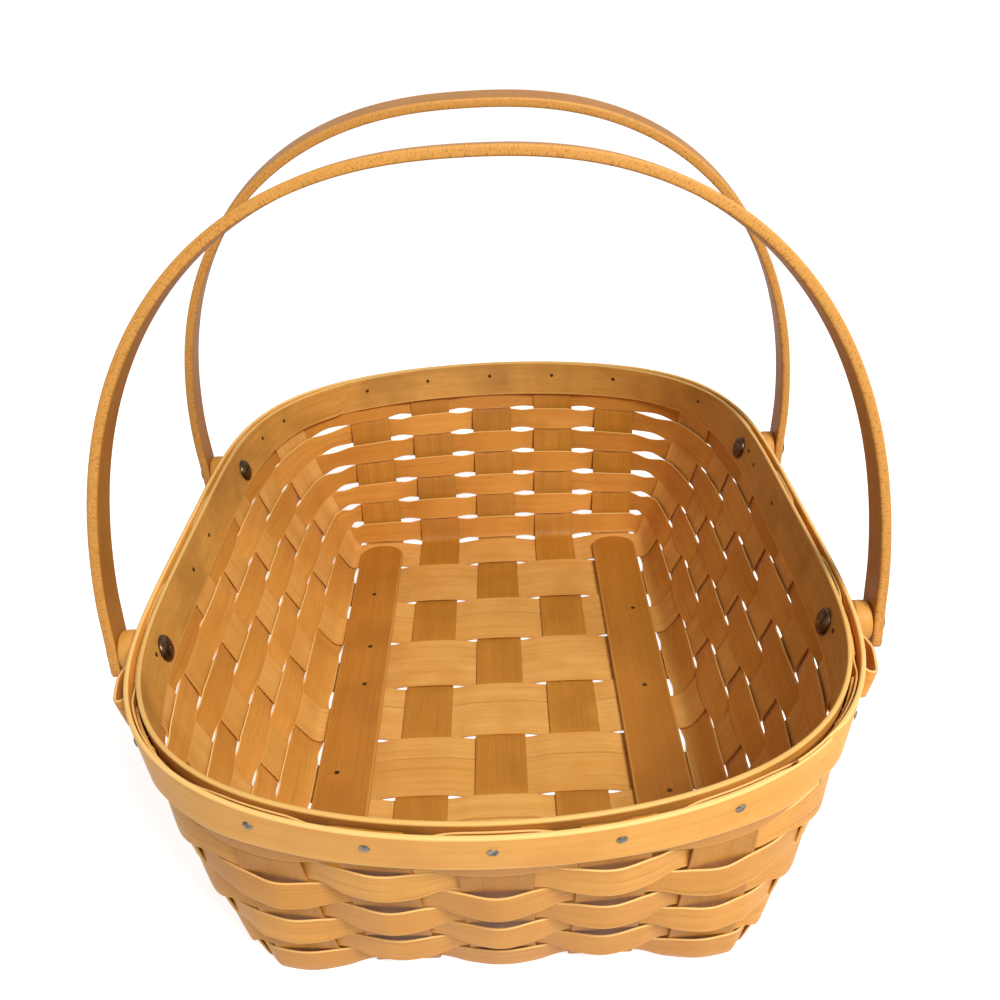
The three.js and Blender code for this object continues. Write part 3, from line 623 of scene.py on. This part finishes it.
bronze = aged_metal("bronze, dark patina", "#6e553c", "#2d2016", 0.36, 3.0)
steel = aged_metal("steel, dull", "#8f897c", "#55504a", 0.48, 1.5)
rusty_steel = aged_metal("steel, browned", "#6d5032", "#3a2614", 0.6, 1.0)
print("materials:", len(bpy.data.materials))

# %% [markdown]
# ## Stakes
# Five long stakes run up the near end, along the floor and up the far end, and eight cross stakes from side
# to side. Each is one ribbon that leans a little in and out where another strip crosses it. On the floor the
# cross stakes carry most of that wave, since the long ones are pulled tight. The tops are cut by hand.

# %% Stakes
ROW_CENTRES = FIRST_ROW + WEAVER_PITCH * np.arange(ROWS)
HALF_ROW = 6.6
STAKE_TOP = WALL_SLANT - 3.2
STAKE_STEP, STAKE_COLUMNS = 1.3, 7
JAG, JAG_START, JAG_POINTS = 1.3, 8.0, 12
BEND_START, BEND_END = -FOOT_BEND - 2, 1  # where the floor's path hands over to the wall's


def over(i, j):
    """Whether strip j passes over strip i, or inside it on the wall."""
    return (i + j) % 2 == 0


def wall_knots(place, reach, direction):
    """Where the stake at a place leans in or out, by distance from the floor's middle."""
    knots = []
    for row, centre in enumerate(ROW_CENTRES):
        lean = WALL_WAVE if over(place, row) else -WALL_WAVE
        knots += [(direction * (reach + centre + d), lean) for d in (-HALF_ROW, HALF_ROW)]
    return knots


def stake(name, first, second, reach, width, floor_point, floor_knots, material, slot):
    """first and second are the places of its ends, reach the distance from the middle to the wall."""
    knots = sorted(wall_knots(first, reach, -1) + floor_knots + wall_knots(second, reach, 1))
    kx, ky = np.array(knots).T
    half = reach + STAKE_TOP
    u = np.linspace(-half, half, int(half / STAKE_STEP))
    wave = smooth_curve(u, kx, ky)
    jag = rng.uniform(-JAG, 0.0, (2, JAG_POINTS))
    jag_x = np.linspace(-width / 2, width / 2, JAG_POINTS)
    (f1, r1, _), (f2, r2, _) = PLACES[first], PLACES[second]
    side = u < 0

    def place(x, h):
        x = np.broadcast_to(x, u.shape)
        ragged = np.where(side, np.interp(x, jag_x, jag[0]), np.interp(x, jag_x, jag[1]))
        s = np.abs(u) - reach
        s = s + ragged * smoothstep(STAKE_TOP - JAG_START, STAKE_TOP, s)
        turn = np.where(side, x, -x)
        point, out = wall_frame(np.where(side, f1, f2) + turn, np.where(side, r1, r2) + turn, s)
        floor = np.stack([*floor_point(u, x), np.full(len(u), FLOOR_HEIGHT)], 1)
        risen = smoothstep(BEND_START, BEND_END, s)[:, None]
        out = unit(np.array([0, 0, -1.0]) * (1 - risen) + out * risen)
        return floor * (1 - risen) + point * risen + out * (wave + h)[:, None]

    tone = rng.uniform(0, 1) ** 2
    mesh = ribbon(name, place, -width / 2, width / 2, thin_edge(STAKE_THICKNESS), tone, STAKE_COLUMNS)
    finish_piece(name, mesh, material, slot, name)


for k in range(LONG_STAKES):
    knots = []
    for j in range(CROSS_STAKES):
        lean = LONG_WAVE if over(k, j) else -LONG_WAVE
        far = far_edge(j) + (SEAM + FILLER_WIDTH if j else 0)
        knots += [(-far + SPARE, lean), (-near_edge(j) - SPARE, lean)]
    floor = lambda u, x, x0=long_x[k]: (x0 + x, -u)
    ends, name = (FAR[k], NEAR[k]), f"long_stake_{k + 1}"
    stake(name, *ends, FOOT_HALF_LENGTH, STAKE_WIDTH, floor, knots, stake_wood, "stake_wood")

# %% Cross stakes and fillers
FLOOR_ARCH = 0.35
FILLER_SAMPLES = 190


def floor_wave(j):
    """How cross row j rises and dips along X over the long stakes."""
    knots = []
    edge = STAKE_WIDTH / 2 + EDGE_CLEARANCE
    for k, x in enumerate(long_x):
        lean = -CROSS_WAVE if over(k, j) else CROSS_WAVE
        arch = -FLOOR_ARCH if over(k, j) else 0.0
        knots += [(x - edge, lean), (x, lean + arch), (x + edge, lean)]
    return knots


for j in range(CROSS_STAKES):
    floor = lambda u, x, y0=(far_edge(j) + near_edge(j)) / 2: (u, y0 + x)
    ends, name = (LEFT[j], RIGHT[j]), f"cross_stake_{j + 1}"
    wave = floor_wave(j)
    stake(name, *ends, FOOT_HALF_WIDTH, cross_width(j), floor, wave, cross_wood, "cross_stake_wood")


def filler(j):
    """The narrow strip beside cross stake j, with the same over and under, cut off at the floor's edge."""
    end = long_x[-1] + STAKE_WIDTH / 2 + EDGE_CLEARANCE
    u = np.linspace(-end, end, FILLER_SAMPLES)
    wave = smooth_curve(u, *np.array(floor_wave(j)).T)
    middle = far_edge(j) + SEAM + FILLER_WIDTH / 2

    def place(x, h):
        return np.stack([u, np.broadcast_to(middle + x, u.shape), FLOOR_HEIGHT - wave - h], 1)

    name, half = f"floor_filler_{j}", FILLER_WIDTH / 2
    mesh = ribbon(name, place, -half, half, thin_edge(STAKE_THICKNESS), rng.uniform(0, 1) ** 2)
    finish_piece(name, mesh, cross_wood, "cross_stake_wood", name)


for j in range(1, CROSS_STAKES):
    filler(j)
print("stakes and fillers:", LONG_STAKES + CROSS_STAKES, "+", CROSS_STAKES - 1)

# %% [markdown]
# ## Weavers
# Eight half-inch weavers go round the wall, over one stake and under the next. Damp splint springs back as
# it dries, so each one bows away from the stake that it crosses. It stands more upright than the flared
# wall, so its lower edge stands off outside and its upper edge inside. Between the stakes it twists from one
# side to the other and looks narrower, most of all in the corners' open crescents.

# %% Weavers
BOW_OUT, BOW_IN = 2.4, 1.0
BOW_VARIES = (0.75, 1.15)
SIDE_BOW = 0.45  # share of the bow on the long walls
TILT, SIDE_TILT = 0.17, 0.05
WIDTH_OVER_STAKE, WIDTH_OVER_SIDE_STAKE = 14.2, 16.8
WIDTH_AT_ENDS, WIDTH_AT_SIDES, WIDTH_AT_CORNERS = 11.4, 14.1, 10.9
FULL_WIDTH_REACH = 0.45  # share of a stake's width, each way, that is passed at full width
UNEVENNESS = 1.0  # how far a width between two stakes strays
LOWEST_DROP, SIDE_DROP = 1.0, 3.4  # how far down the lowest weaver reaches onto the floor's edge
TOP_TRIM = 1.5  # how much of the top weaver is cut off under the bands
LOWEST_FREEDOM, BANDS_FREEDOM = 0.6, 0.25  # share of bow and tilt left by the floor and by the bands
ABOVE_GROUND = 0.2
RIM_SAMPLES = 600
RIM_ARC = np.linspace(0, RIM.perimeter, RIM_SAMPLES, endpoint=False)
FOOT_ARC = foot_arc_below(RIM_ARC)
CORNERS = []
width_knots = []
for k, (_, r, w) in enumerate(PLACES):
    _, next_r, next_w = PLACES[(k + 1) % len(PLACES)]
    next_r += RIM.perimeter if k == len(PLACES) - 1 else 0
    start, end = r + w / 2, next_r - next_w / 2
    at_corner = k in (FAR[-1], RIGHT[-1], NEAR[0], LEFT[0])
    if at_corner:
        CORNERS.append((start, end))
    at_end = k in FAR or k in NEAR
    width = WIDTH_AT_CORNERS if at_corner else WIDTH_AT_ENDS if at_end else WIDTH_AT_SIDES
    over_stake = WIDTH_OVER_STAKE if at_end else WIDTH_OVER_SIDE_STAKE
    reach = FULL_WIDTH_REACH * w
    width_knots += [(r - reach, over_stake, 0), (r + reach, over_stake, 0), ((start + end) / 2, width, 1)]
SIDENESS = np.abs(RIM.outward(RIM_ARC)[:, 0]) ** 4
TILTS = TILT + (SIDE_TILT - TILT) * SIDENESS


def weaver_wave(row, freedom, bow_out, bow_in):
    """How far out the weaver's middle lies, with its tight edge against the stakes."""
    knots = []
    for k, (_, r, w) in enumerate(PLACES):
        side = -1 if over(k, row) else 1
        at_side = k in LEFT or k in RIGHT
        tilt = freedom * (SIDE_TILT if at_side else TILT)
        bow = (bow_in if side < 0 else bow_out) * rng.uniform(*BOW_VARIES) * (SIDE_BOW if at_side else 1)
        edge, tight = w / 2 + EDGE_CLEARANCE, WEAVER_WAVE + tilt * WEAVER_WIDTH / 2
        knots += [(r - edge, side * tight), (r, side * (tight + bow)), (r + edge, side * tight)]
    return smooth_curve(RIM_ARC, *np.array(knots).T, RIM.perimeter)


def weaver(row):
    # The bands hold the top weaver flat and press on the next. The lowest stands on the floor's edge.
    top = row == ROWS - 1
    pressed = BANDS_FREEDOM if row == ROWS - 2 else LOWEST_FREEDOM if row == 0 else 1.0
    freedom = 0.0 if top else pressed
    leaning = freedom if row < ROWS - 2 else 0.0
    tilt = TILTS * leaning
    wave = weaver_wave(row, leaning, BOW_OUT * freedom, BOW_IN * freedom)

    def place(x, h):
        point, out = wall_frame(FOOT_ARC, RIM_ARC, ROW_CENTRES[row] + x)
        out = soften(unit(out), closed=True)
        path = soften(point, closed=True) + out * (wave - tilt * x + h)[:, None]
        path[:, 2] = np.maximum(path[:, 2], ABOVE_GROUND + h)
        return path

    knots, widths, between = np.array(width_knots).T
    widths += between * rng.uniform(-UNEVENNESS, UNEVENNESS, len(knots))
    high = smooth_curve(RIM_ARC, knots, widths, RIM.perimeter) / 2
    low = -high
    if row == 0:
        low = low - LOWEST_DROP - SIDE_DROP * SIDENESS
    if top:
        high = high - TOP_TRIM
    name = "top_weaver" if top else f"wall_weaver_{row + 1}"
    mesh = ribbon(name, place, low, high, thin_edge(WEAVER_THICKNESS), rng.uniform(0, 1), closed=True)
    finish_piece(name, mesh, weaver_wood, "weaver_wood", name)


for row in range(ROWS):
    weaver(row)
print("weavers:", ROWS)

# %% [markdown]
# ## Rim bands
# Two shaved strips clamp the stakes' tops between them. Each goes round once and is skived, that is shaved
# thin, where its ends overlap. The inner band's end has its lower corner cut off. The edges are rounded.

# %% Bands
BAND_STEP, BAND_EDGE, BAND_TONE = 2.0, 0.7, 0.2
LAP_RAMP, CLIP, CLIP_RUN = 10.0, 6.0, 7.0
TOUCH = 0.3


def band(name, near_face, far_face, lap_ends, clip, material, node_name):
    turn = RIM.perimeter
    start, end = lap_ends
    lap = end - start
    t = np.arange(start, end + turn, BAND_STEP)
    foot = foot_arc_below(t)
    middle = (near_face + far_face) / 2
    run = t - start
    begin = middle + TOUCH / 2
    first = begin + (near_face - begin) * smoothstep(lap, lap + LAP_RAMP, run)
    finish = middle - TOUCH / 2
    last = far_face + (finish - far_face) * smoothstep(turn - LAP_RAMP, turn, run)
    thickness = far_face - near_face

    def place(x, h):
        point, out = wall_frame(foot, t, WALL_SLANT - BAND_WIDTH / 2 + x)
        depth = first + (last - first) * (h / thickness + 0.5)
        return soften(point) + soften(out) * depth[:, None]

    high = BAND_WIDTH / 2
    low = -high + clip * smoothstep(turn + lap - CLIP_RUN, turn + lap, run)
    mesh = ribbon(name, place, low, high, round_edge(thickness, BAND_EDGE), BAND_TONE)
    finish_piece(name, mesh, material, "band_wood", node_name)


# Each lap lies in a corner, over a share of the gap between two stakes
far_left, near_right = CORNERS[3], CORNERS[1]
lap_ends = np.interp((0.25, 0.75), (0, 1), near_right)
band("outer_rim_band", BAND_INSET, BAND_FACE, lap_ends, 0.0, outer_band_wood, "outer_band")
lap_ends = np.interp((0.5, 1.0), (0, 1), far_left) - RIM.perimeter
band("inner_rim_band", -BAND_FACE, -BAND_INSET, lap_ends, CLIP, inner_band_wood, "inner_band")
print("bands go round", round(RIM.perimeter), "mm")

# %% [markdown]
# ## Runners
# Two flat staves lie on the floor over the outermost long stakes. Each has rounded corners and softened
# edges, and small nails hold it down.

# %% Runners
RUNNER_CORNER, RUNNER_EDGE, RUNNER_SAMPLES = 11.0, 0.8, 160
RUNNER_TONES = {-1: 0.3, 1: 0.6}
for side, label in SIDE_NAMES.items():
    low_box, high_box = node_box(f"{label}_runner")
    centre, size = (low_box + high_box) / 2, high_box - low_box
    end = size[1] / 2
    y = end * np.sin(np.linspace(-np.pi / 2, np.pi / 2, RUNNER_SAMPLES))
    half = rounded_end(size[0] / 2, RUNNER_CORNER, end - np.abs(y))

    def place(x, h):
        height = centre[2] + h
        return np.stack(np.broadcast_arrays(centre[0] + x, y, height), 1)

    name, edge = f"{label}_runner", round_edge(size[2], RUNNER_EDGE)
    mesh = ribbon(name, place, -half, half, edge, RUNNER_TONES[side])
    finish_piece(name, mesh, runner_wood, "runner_wood", name)
print("runners:", len(SIDE_NAMES))

# %% [markdown]
# ## Pivots
# Each handle foot turns on a rivet. From inside out, the rivet holds the inner band, the stakes, the outer
# band, a long strip of splint, a wooden washer and the handle's foot.

# %% Pivot places
STRIP_WIDTH, STRIP_THICKNESS = 12.7, 1.1
WASHER_THICKNESS, WASHER_RADIUS = 8.5, 8.5
STRIP_SEAT = BAND_FACE + TOUCH


def pivot(side, end):
    foot_arc, rim_arc = side_arcs(side, end * PIVOT_SPACING / 2)
    s = np.array([WALL_SLANT - BAND_WIDTH, WALL_SLANT - BAND_WIDTH / 2, WALL_SLANT])
    point, out = wall_frame(np.full(3, foot_arc), np.full(3, rim_arc), s)
    share = (PIVOT_HEIGHT - point[0, 2]) / (point[2, 2] - point[0, 2])
    place = point[0] + (point[2] - point[0]) * share
    name = f"{END_NAMES[end]}_{SIDE_NAMES[side]}"
    shape = {"s": s[0] + BAND_WIDTH * share, "x": abs(place[0]), "out": out[1]}
    return {"name": name, "side": side, "end": end, **shape}


pivots = [pivot(side, end) for side in SIDE_NAMES for end in END_NAMES]
seat = STRIP_SEAT + STRIP_THICKNESS + TOUCH
washer_seat = pivots[0]["x"] + seat / abs(pivots[0]["out"][0])
HANDLE_FOOT = washer_seat + WASHER_THICKNESS + TOUCH
print("handle feet are", round(2 * HANDLE_FOOT, 1), "mm apart inside")


# %% Side strips
STRIP_BACK, STRIP_FRONT, STRIP_LIFT = 17.0, 36.0, 24.0
STRIP_SAMPLES, STRIP_TONE = 120, 0.35
FOLD_RADIUS, FOLD_RETURN, FOLD_STEPS, RETURN_STEPS = 2.0, 9.0, 12, 7


def side_strip(side):
    front_pivot = -PIVOT_SPACING / 2
    front = front_pivot - STRIP_FRONT
    y = np.linspace(-front_pivot + STRIP_BACK, front, STRIP_SAMPLES)
    lift = smoothstep(WASHER_RADIUS, STRIP_LIFT, front_pivot - y)
    depth = STRIP_SEAT + STRIP_THICKNESS / 2 + lift * (STRIP_THICKNESS + 2 * FOLD_RADIUS)
    turn = np.linspace(0, np.pi, FOLD_STEPS + 1)[1:]
    radius = FOLD_RADIUS + STRIP_THICKNESS / 2
    fold_y, fold_depth = front - radius * np.sin(turn), depth[-1] - radius * (1 - np.cos(turn))
    back_y = np.linspace(front, front + FOLD_RETURN, RETURN_STEPS + 1)[1:]
    depths = np.concatenate([depth, fold_depth, np.full(RETURN_STEPS, fold_depth[-1])])
    path = np.stack([np.concatenate([y, fold_y, back_y]), depths], 1)
    along = unit(np.gradient(path, axis=0))
    facing = np.stack([along[:, 1], -along[:, 0]], 1)

    def place(x, h):
        py, pd = (path + facing * h).T
        point, out = wall_frame(*side_arcs(side, py), pivots[0]["s"] + x)
        return point + out * pd[:, None]

    name, half = f"{SIDE_NAMES[side]}_side_strip", STRIP_WIDTH / 2
    mesh = ribbon(name, place, -half, half, thin_edge(STRIP_THICKNESS), STRIP_TONE)
    finish_piece(name, mesh, weaver_wood, "weaver_wood", name)


for side in SIDE_NAMES:
    side_strip(side)
print("side strips:", len(SIDE_NAMES))


# %% Turned pieces
TURNED_TONE = 0.3


def turned(centres, radii, axis, sides=40):
    """A turned body: rings of the given radii about centres on an axis."""
    angle = 2 * np.pi * np.arange(sides) / sides
    across = unit(np.cross(axis, [0.0, 0.0, 1.0]))
    ring = np.cos(angle)[:, None] * across + np.sin(angle)[:, None] * np.cross(axis, across)
    rows = centres[:, None] + ring * radii[:, None, None]
    along = path_lengths(centres, np.abs(np.diff(radii)))
    around = np.arange(sides + 1) / sides * 2 * np.pi * radii.max()
    grain = np.stack(np.broadcast_arrays(along[:, None] + rng.uniform(0, TURNED_SPREAD), around), -1)
    return skin("turned", rows, grain, np.zeros(grain.shape[:2]), TURNED_TONE)


def join(name, meshes):
    """One mesh of several closed bodies, with their texture layouts kept."""
    model = bmesh.new()
    for mesh in meshes:
        model.from_mesh(mesh)
    joined = bpy.data.meshes.new(name)
    model.to_mesh(joined)
    model.free()
    return joined


# %% Washers
WASHER_EASE, WASHER_START, WASHER_BELLY = 1.0, 0.3, 1.015  # eased rim, first ring, wider halfway
WASHER_SIDES, WASHER_GRAIN = 48, 1.2
WASHER_APART = 90  # keeps the grain of front and back washers apart


def washer(spot):
    side, end, out = spot["side"], spot["end"], spot["out"]
    angle = 2 * np.pi * np.arange(WASHER_SIDES) / WASHER_SIDES
    ease = WASHER_EASE
    profile = [(WASHER_START, 0.0), (WASHER_RADIUS - ease, 0.0), (WASHER_RADIUS - 0.3 * ease, 0.3 * ease)]
    profile += [(WASHER_RADIUS, ease), (WASHER_RADIUS * WASHER_BELLY, WASHER_THICKNESS / 2)]
    profile += [(r, WASHER_THICKNESS - d) for r, d in profile[:4][::-1]]
    rows = []
    for radius, depth in profile:
        y, z = radius * np.cos(angle), radius * np.sin(angle)
        slant = -(out[1] * y + out[2] * z) / out[0]
        share = 1 - depth / WASHER_THICKNESS
        x = side * (spot["seat"] + depth) + slant * share
        rows.append(np.stack([x, y + end * PIVOT_SPACING / 2, z + PIVOT_HEIGHT], 1))
    depth = np.array([d for _, d in profile])[:, None] + WASHER_APART * end
    grain = np.stack(np.broadcast_arrays(np.arange(WASHER_SIDES + 1) * WASHER_GRAIN, depth), -1)
    name = spot["name"] + "_washer"
    mesh = skin(name, np.array(rows), grain, np.zeros(grain.shape[:2]), rng.uniform(0, 0.5))
    finish_piece(name, mesh, washer_wood, "washer_wood", name)


# %% Rivets
RIVET_RADIUS, HEAD_RADIUS, HEAD_HEIGHT, DIMPLE = 2.0, 6.0, 2.6, 0.6
OUTER_RADIUS, OUTER_HEIGHT = 5.1, 2.1
SHANK_INTO_HEAD = 0.5
HANDLE_THICKNESS = 4.2
DOME_FROM, DOME_RINGS, DOME_POWER = 0.12, 12, 0.9  # the dome's flat top, its rings and its fullness
DIMPLE_RADII = np.linspace(0.1, 0.02, 4)
DIMPLE_DEPTHS = np.array([0.3, 0.75, 0.95, 1.0])
UNDERSIDE = 0.5


def dome(seat, direction, radius, height, dimple):
    """A rivet's head: a low dome with a dimple from the setting tool, on a flat underside."""
    angle = np.linspace(DOME_FROM, 1, DOME_RINGS)[::-1] * np.pi / 2
    heights = np.concatenate([[0.0, 0.0], height * np.cos(angle) ** DOME_POWER])
    heights = np.concatenate([heights, heights[-1] - dimple * DIMPLE_DEPTHS])
    radii = np.concatenate([[UNDERSIDE, 1], np.sin(angle), DIMPLE_RADII]) * radius
    return turned(seat + direction * heights[:, None], radii, direction)


def rivet(spot):
    out = spot["out"]
    axis = np.array([0, spot["end"] * PIVOT_SPACING / 2, PIVOT_HEIGHT])
    across = np.array([1.0, 0, 0])
    outward = across * spot["side"]
    head_seat = spot["x"] - (BAND_FACE + TOUCH) / abs(out[0])
    outer_seat = HANDLE_FOOT + HANDLE_THICKNESS + TOUCH
    inner = dome(axis + outward * head_seat, -out, HEAD_RADIUS, HEAD_HEIGHT, DIMPLE)
    outer = dome(axis + outward * outer_seat, outward, OUTER_RADIUS, OUTER_HEIGHT, DIMPLE)
    ends = np.array([head_seat - SHANK_INTO_HEAD, outer_seat + SHANK_INTO_HEAD])
    shank = turned(axis + outward * ends[:, None], np.full(2, RIVET_RADIUS), across)
    name = spot["name"] + "_rivet"
    finish_piece(name, join(name, [inner, outer, shank]), bronze, "rivet_bronze", name)


for spot in pivots:
    spot["seat"] = spot["x"] + seat / abs(spot["out"][0])
    washer(spot)
    rivet(spot)
print("pivots:", len(pivots))

# %% [markdown]
# ## Tacks
# Small steel tacks go through outer band, stake and inner band, and their points are clenched inside. The
# CAD model has those of the end walls and the corners. The others show only as dark dots inside, so they are
# made here alone, at the places that the photograph shows.

# %% Tacks
TACK_S = WALL_SLANT - 8.5
TACK_HEAD, TACK_HEIGHT, TACK_DIMPLE, TACK_RADIUS, TACK_SEAT = 1.9, 0.7, 0.08, 0.9, 0.05
TACK_SIDES, SHANK_BEYOND = 12, 0.4
POINT_SHAPE = (1.1, 0.45, 0.05)  # radius, height and dimple of a clenched point
NAIL_SHAPE = (1.3, 0.35, 0.05)
NAIL_DIRECTION = np.array([0.0, 1e-6, 1.0])  # up, but not so exactly that it gives no axis across


def tack_point(foot_arc, rim_arc, offset):
    """A clenched point, which stands a little proud of the inner band, at an offset up the wall."""
    point, out = wall_spot(foot_arc, rim_arc, TACK_S + offset)
    return dome(point - out * BAND_FACE, -out, *POINT_SHAPE)


def tack(name, index):
    f, r, _ = PLACES[index]
    point, out = wall_spot(f, r, TACK_S)
    head = dome(point + out * (BAND_FACE + TACK_SEAT), out, TACK_HEAD, TACK_HEIGHT, TACK_DIMPLE)
    ends = np.array([-BAND_FACE, BAND_FACE + SHANK_BEYOND])
    shank = turned(point + out * ends[:, None], np.full(2, TACK_RADIUS), out, TACK_SIDES)
    finish_piece(name, join(name, [head, shank]), steel, "tack_steel", name)
    return tack_point(f, r, 0.0)


points = []
for k in range(LONG_STAKES):
    points.append(tack(f"far_tack_{k + 1}", FAR[k]))
    points.append(tack(f"near_tack_{k + 1}", NEAR[k]))
for j in (0, CROSS_STAKES - 1):
    points.append(tack(f"left_tack_{j + 1}", LEFT[j]))
    points.append(tack(f"right_tack_{j + 1}", RIGHT[j]))

name = "clenched_tack_points"
finish_piece(name, join(name, points), rusty_steel, "tack_steel")
print("tacks:", len(points))

# %% Small tacks of the sides and the runners
# Places along the basket, in millimetres
SIDE_TACKS = {-1: (120, 8, -24, -93), 1: (83, 71, 58, 17, -95)}
RUNNER_TACKS = {-1: (96, 42, 8, -60), 1: (-2, 70, -80)}
ASTRAY_LOW, ASTRAY_HIGH, RUNNER_ASTRAY = -3, 1, 5


def side_tack(side, y):
    rim_arc = side_arcs(side, y)[1]
    return tack_point(foot_arc_below(rim_arc), rim_arc, rng.uniform(ASTRAY_LOW, ASTRAY_HIGH))


def runner_tack(side, y):
    low_box, high_box = node_box(f"{SIDE_NAMES[side]}_runner")
    x = (low_box[0] + high_box[0]) / 2 + rng.uniform(-RUNNER_ASTRAY, RUNNER_ASTRAY)
    return dome(np.array([x, y, high_box[2]]), NAIL_DIRECTION, *NAIL_SHAPE)


kinds = (("side_tack_points", side_tack, SIDE_TACKS), ("runner_tacks", runner_tack, RUNNER_TACKS))
for kind, make, tacks in kinds:
    for side, places in tacks.items():
        name = f"{SIDE_NAMES[side]}_{kind}"
        finish_piece(name, join(name, [make(side, y) for y in places]), rusty_steel, "tack_steel")

# %% [markdown]
# ## Handles
# Each handle is a strip of wood that was steamed and bent over a form, then riveted at both feet. Its
# outline is an upright superellipse. Both are stored at the angle that they have in the photograph and turn
# on their rivets.

# %% Handles
HANDLE_WIDTH, HANDLE_HEIGHT, SQUARENESS = 16.0, 195.8, 2.38
SWELL, SWELL_HEIGHT, TOE, TOE_RADIUS = 0.6, 6.0, 11.0, 5.0
STRAIGHT_LEG, ARCH_START, ARCH_POINTS = 8.0, math.radians(3), 60
HANDLE_SAMPLES, HANDLE_SOFTENING, KEPT_ENDS = 320, 3.0, 4
HANDLE_EDGE, HANDLE_TONE = 0.9, 0.2
LEAN = {-1: math.radians(7.2), 1: math.radians(-6.0)}


def arch(inset):
    """Half of the arch's line, from the toe to the top."""
    foot = HANDLE_FOOT + HANDLE_THICKNESS - inset
    angle = np.linspace(ARCH_START, math.pi / 2, ARCH_POINTS)
    power = 2 / SQUARENESS
    height = SWELL_HEIGHT + (HANDLE_HEIGHT - inset - SWELL_HEIGHT) * np.sin(angle) ** power
    across = (foot + SWELL) * np.abs(np.cos(angle)) ** power
    legs = [(foot, z) for z in (-TOE, -TOE / 2, 0.0, STRAIGHT_LEG)]
    return np.vstack([legs, np.stack([across, height], 1)])


def handle(end):
    half = np.hstack([arch(0), arch(HANDLE_THICKNESS)])
    mirrored = half[-2::-1] * np.array([-1, 1, -1, 1])
    lines = np.vstack([half, mirrored])
    length = path_lengths((lines[:, :2] + lines[:, 2:]) / 2)
    even = np.linspace(0, length[-1], HANDLE_SAMPLES)
    lines = np.stack([np.interp(even, length, lines[:, i]) for i in range(4)], 1)
    kept = slice(KEPT_ENDS, -KEPT_ENDS)
    lines[kept] = soften(lines, HANDLE_SOFTENING)[kept]
    middle = (lines[:, :2] + lines[:, 2:]) / 2
    out = (lines[:, :2] - lines[:, 2:]) / HANDLE_THICKNESS
    side = rounded_end(HANDLE_WIDTH / 2, TOE_RADIUS, np.minimum(even, length[-1] - even))
    cos, sin = math.cos(LEAN[end]), math.sin(LEAN[end])

    def place(x, h):
        flat = middle + out * h
        y, z = np.broadcast_to(x, even.shape), flat[:, 1]
        turned_y, turned_z = y * cos + z * sin, z * cos - y * sin
        return np.stack([flat[:, 0], turned_y + end * PIVOT_SPACING / 2, turned_z + PIVOT_HEIGHT], 1)

    name = f"{END_NAMES[end]}_handle"
    mesh = ribbon(name, place, -side, side, round_edge(HANDLE_THICKNESS, HANDLE_EDGE), HANDLE_TONE)
    finish_piece(name, mesh, handle_wood, "handle_wood", name, body=name)


for end in END_NAMES:
    handle(end)
print("handles:", len(END_NAMES))

# %% [markdown]
# ## Light and ground
# The photograph has one soft key light from the front right above and a pure white ground. An area lamp, a
# weak second one and an even world stand for them. The ground is matt white paper. The camera sees it partly
# lit from within, so that the white stays white, and its own shading keeps the basket's shadow.

# %% Ground
PAPER_GLOW = 0.8
GROUND = 30.0  # metres each way
WHITE = (1, 1, 1, 1)


def seen_rays(tree):
    """1 for the camera's own rays and for those in a reflection or through glass."""
    rays = node(tree, "ShaderNodeLightPath").outputs
    seen = maths(tree, "MAXIMUM", rays["Is Camera Ray"], rays["Is Glossy Ray"])
    return maths(tree, "MAXIMUM", seen, rays["Is Transmission Ray"])


paper, tree = new_material("matt white paper")
glow = maths(tree, "MULTIPLY", seen_rays(tree), PAPER_GLOW)
grit = bump(tree, noise(tree, Scale=900.0), 0.1, 0.02)
matt = {"Base Color": linear("#dcdcda"), "Roughness": 0.9, "Normal": grit}
sheet = node(tree, "ShaderNodeBsdfPrincipled", matt)
white = node(tree, "ShaderNodeEmission", {"Color": WHITE, "Strength": glow})
both = node(tree, "ShaderNodeAddShader", {0: sheet.outputs["BSDF"], 1: white.outputs["Emission"]})
node(tree, "ShaderNodeOutputMaterial", {"Surface": both.outputs["Shader"]})

ground_mesh = bpy.data.meshes.new("ground")
spread = [(-GROUND, -GROUND, 0), (GROUND, -GROUND, 0), (GROUND, GROUND, 0), (-GROUND, GROUND, 0)]
ground_mesh.from_pydata(spread, [], [(0, 1, 2, 3)])
ground_mesh.materials.append(paper)
ground = add_object("ground", ground_mesh)

# %% Lamps and world
AMBIENT = 0.22
AIM = Vector((0, 0, 0.05))


def lamp(name, place, size, power):
    data = bpy.data.lights.new(name, "AREA")
    data.shape = "DISK"
    data.size = size
    data.energy = power
    turn = (AIM - Vector(place)).to_track_quat("-Z", "Y").to_matrix().to_4x4()
    add_object(name, data).matrix_world = Matrix.Translation(place) @ turn


lamp("key", (0.6, -0.95, 1.35), 0.6, 29.5)
lamp("front fill", (0.2, -1.6, 0.5), 1.0, 1.5)

bpy.context.scene.world, tree = with_tree(bpy.data.worlds.new("white studio"))
limits = {"Value": seen_rays(tree), "To Min": AMBIENT, "To Max": 1.0}
strength = node(tree, "ShaderNodeMapRange", limits)
back = node(tree, "ShaderNodeBackground", {"Color": WHITE, "Strength": strength.outputs["Result"]})
node(tree, "ShaderNodeOutputWorld", {"Surface": back.outputs["Background"]})
bpy.context.scene.view_settings.view_transform = "Standard"
print("lamps:", len(bpy.data.lights))
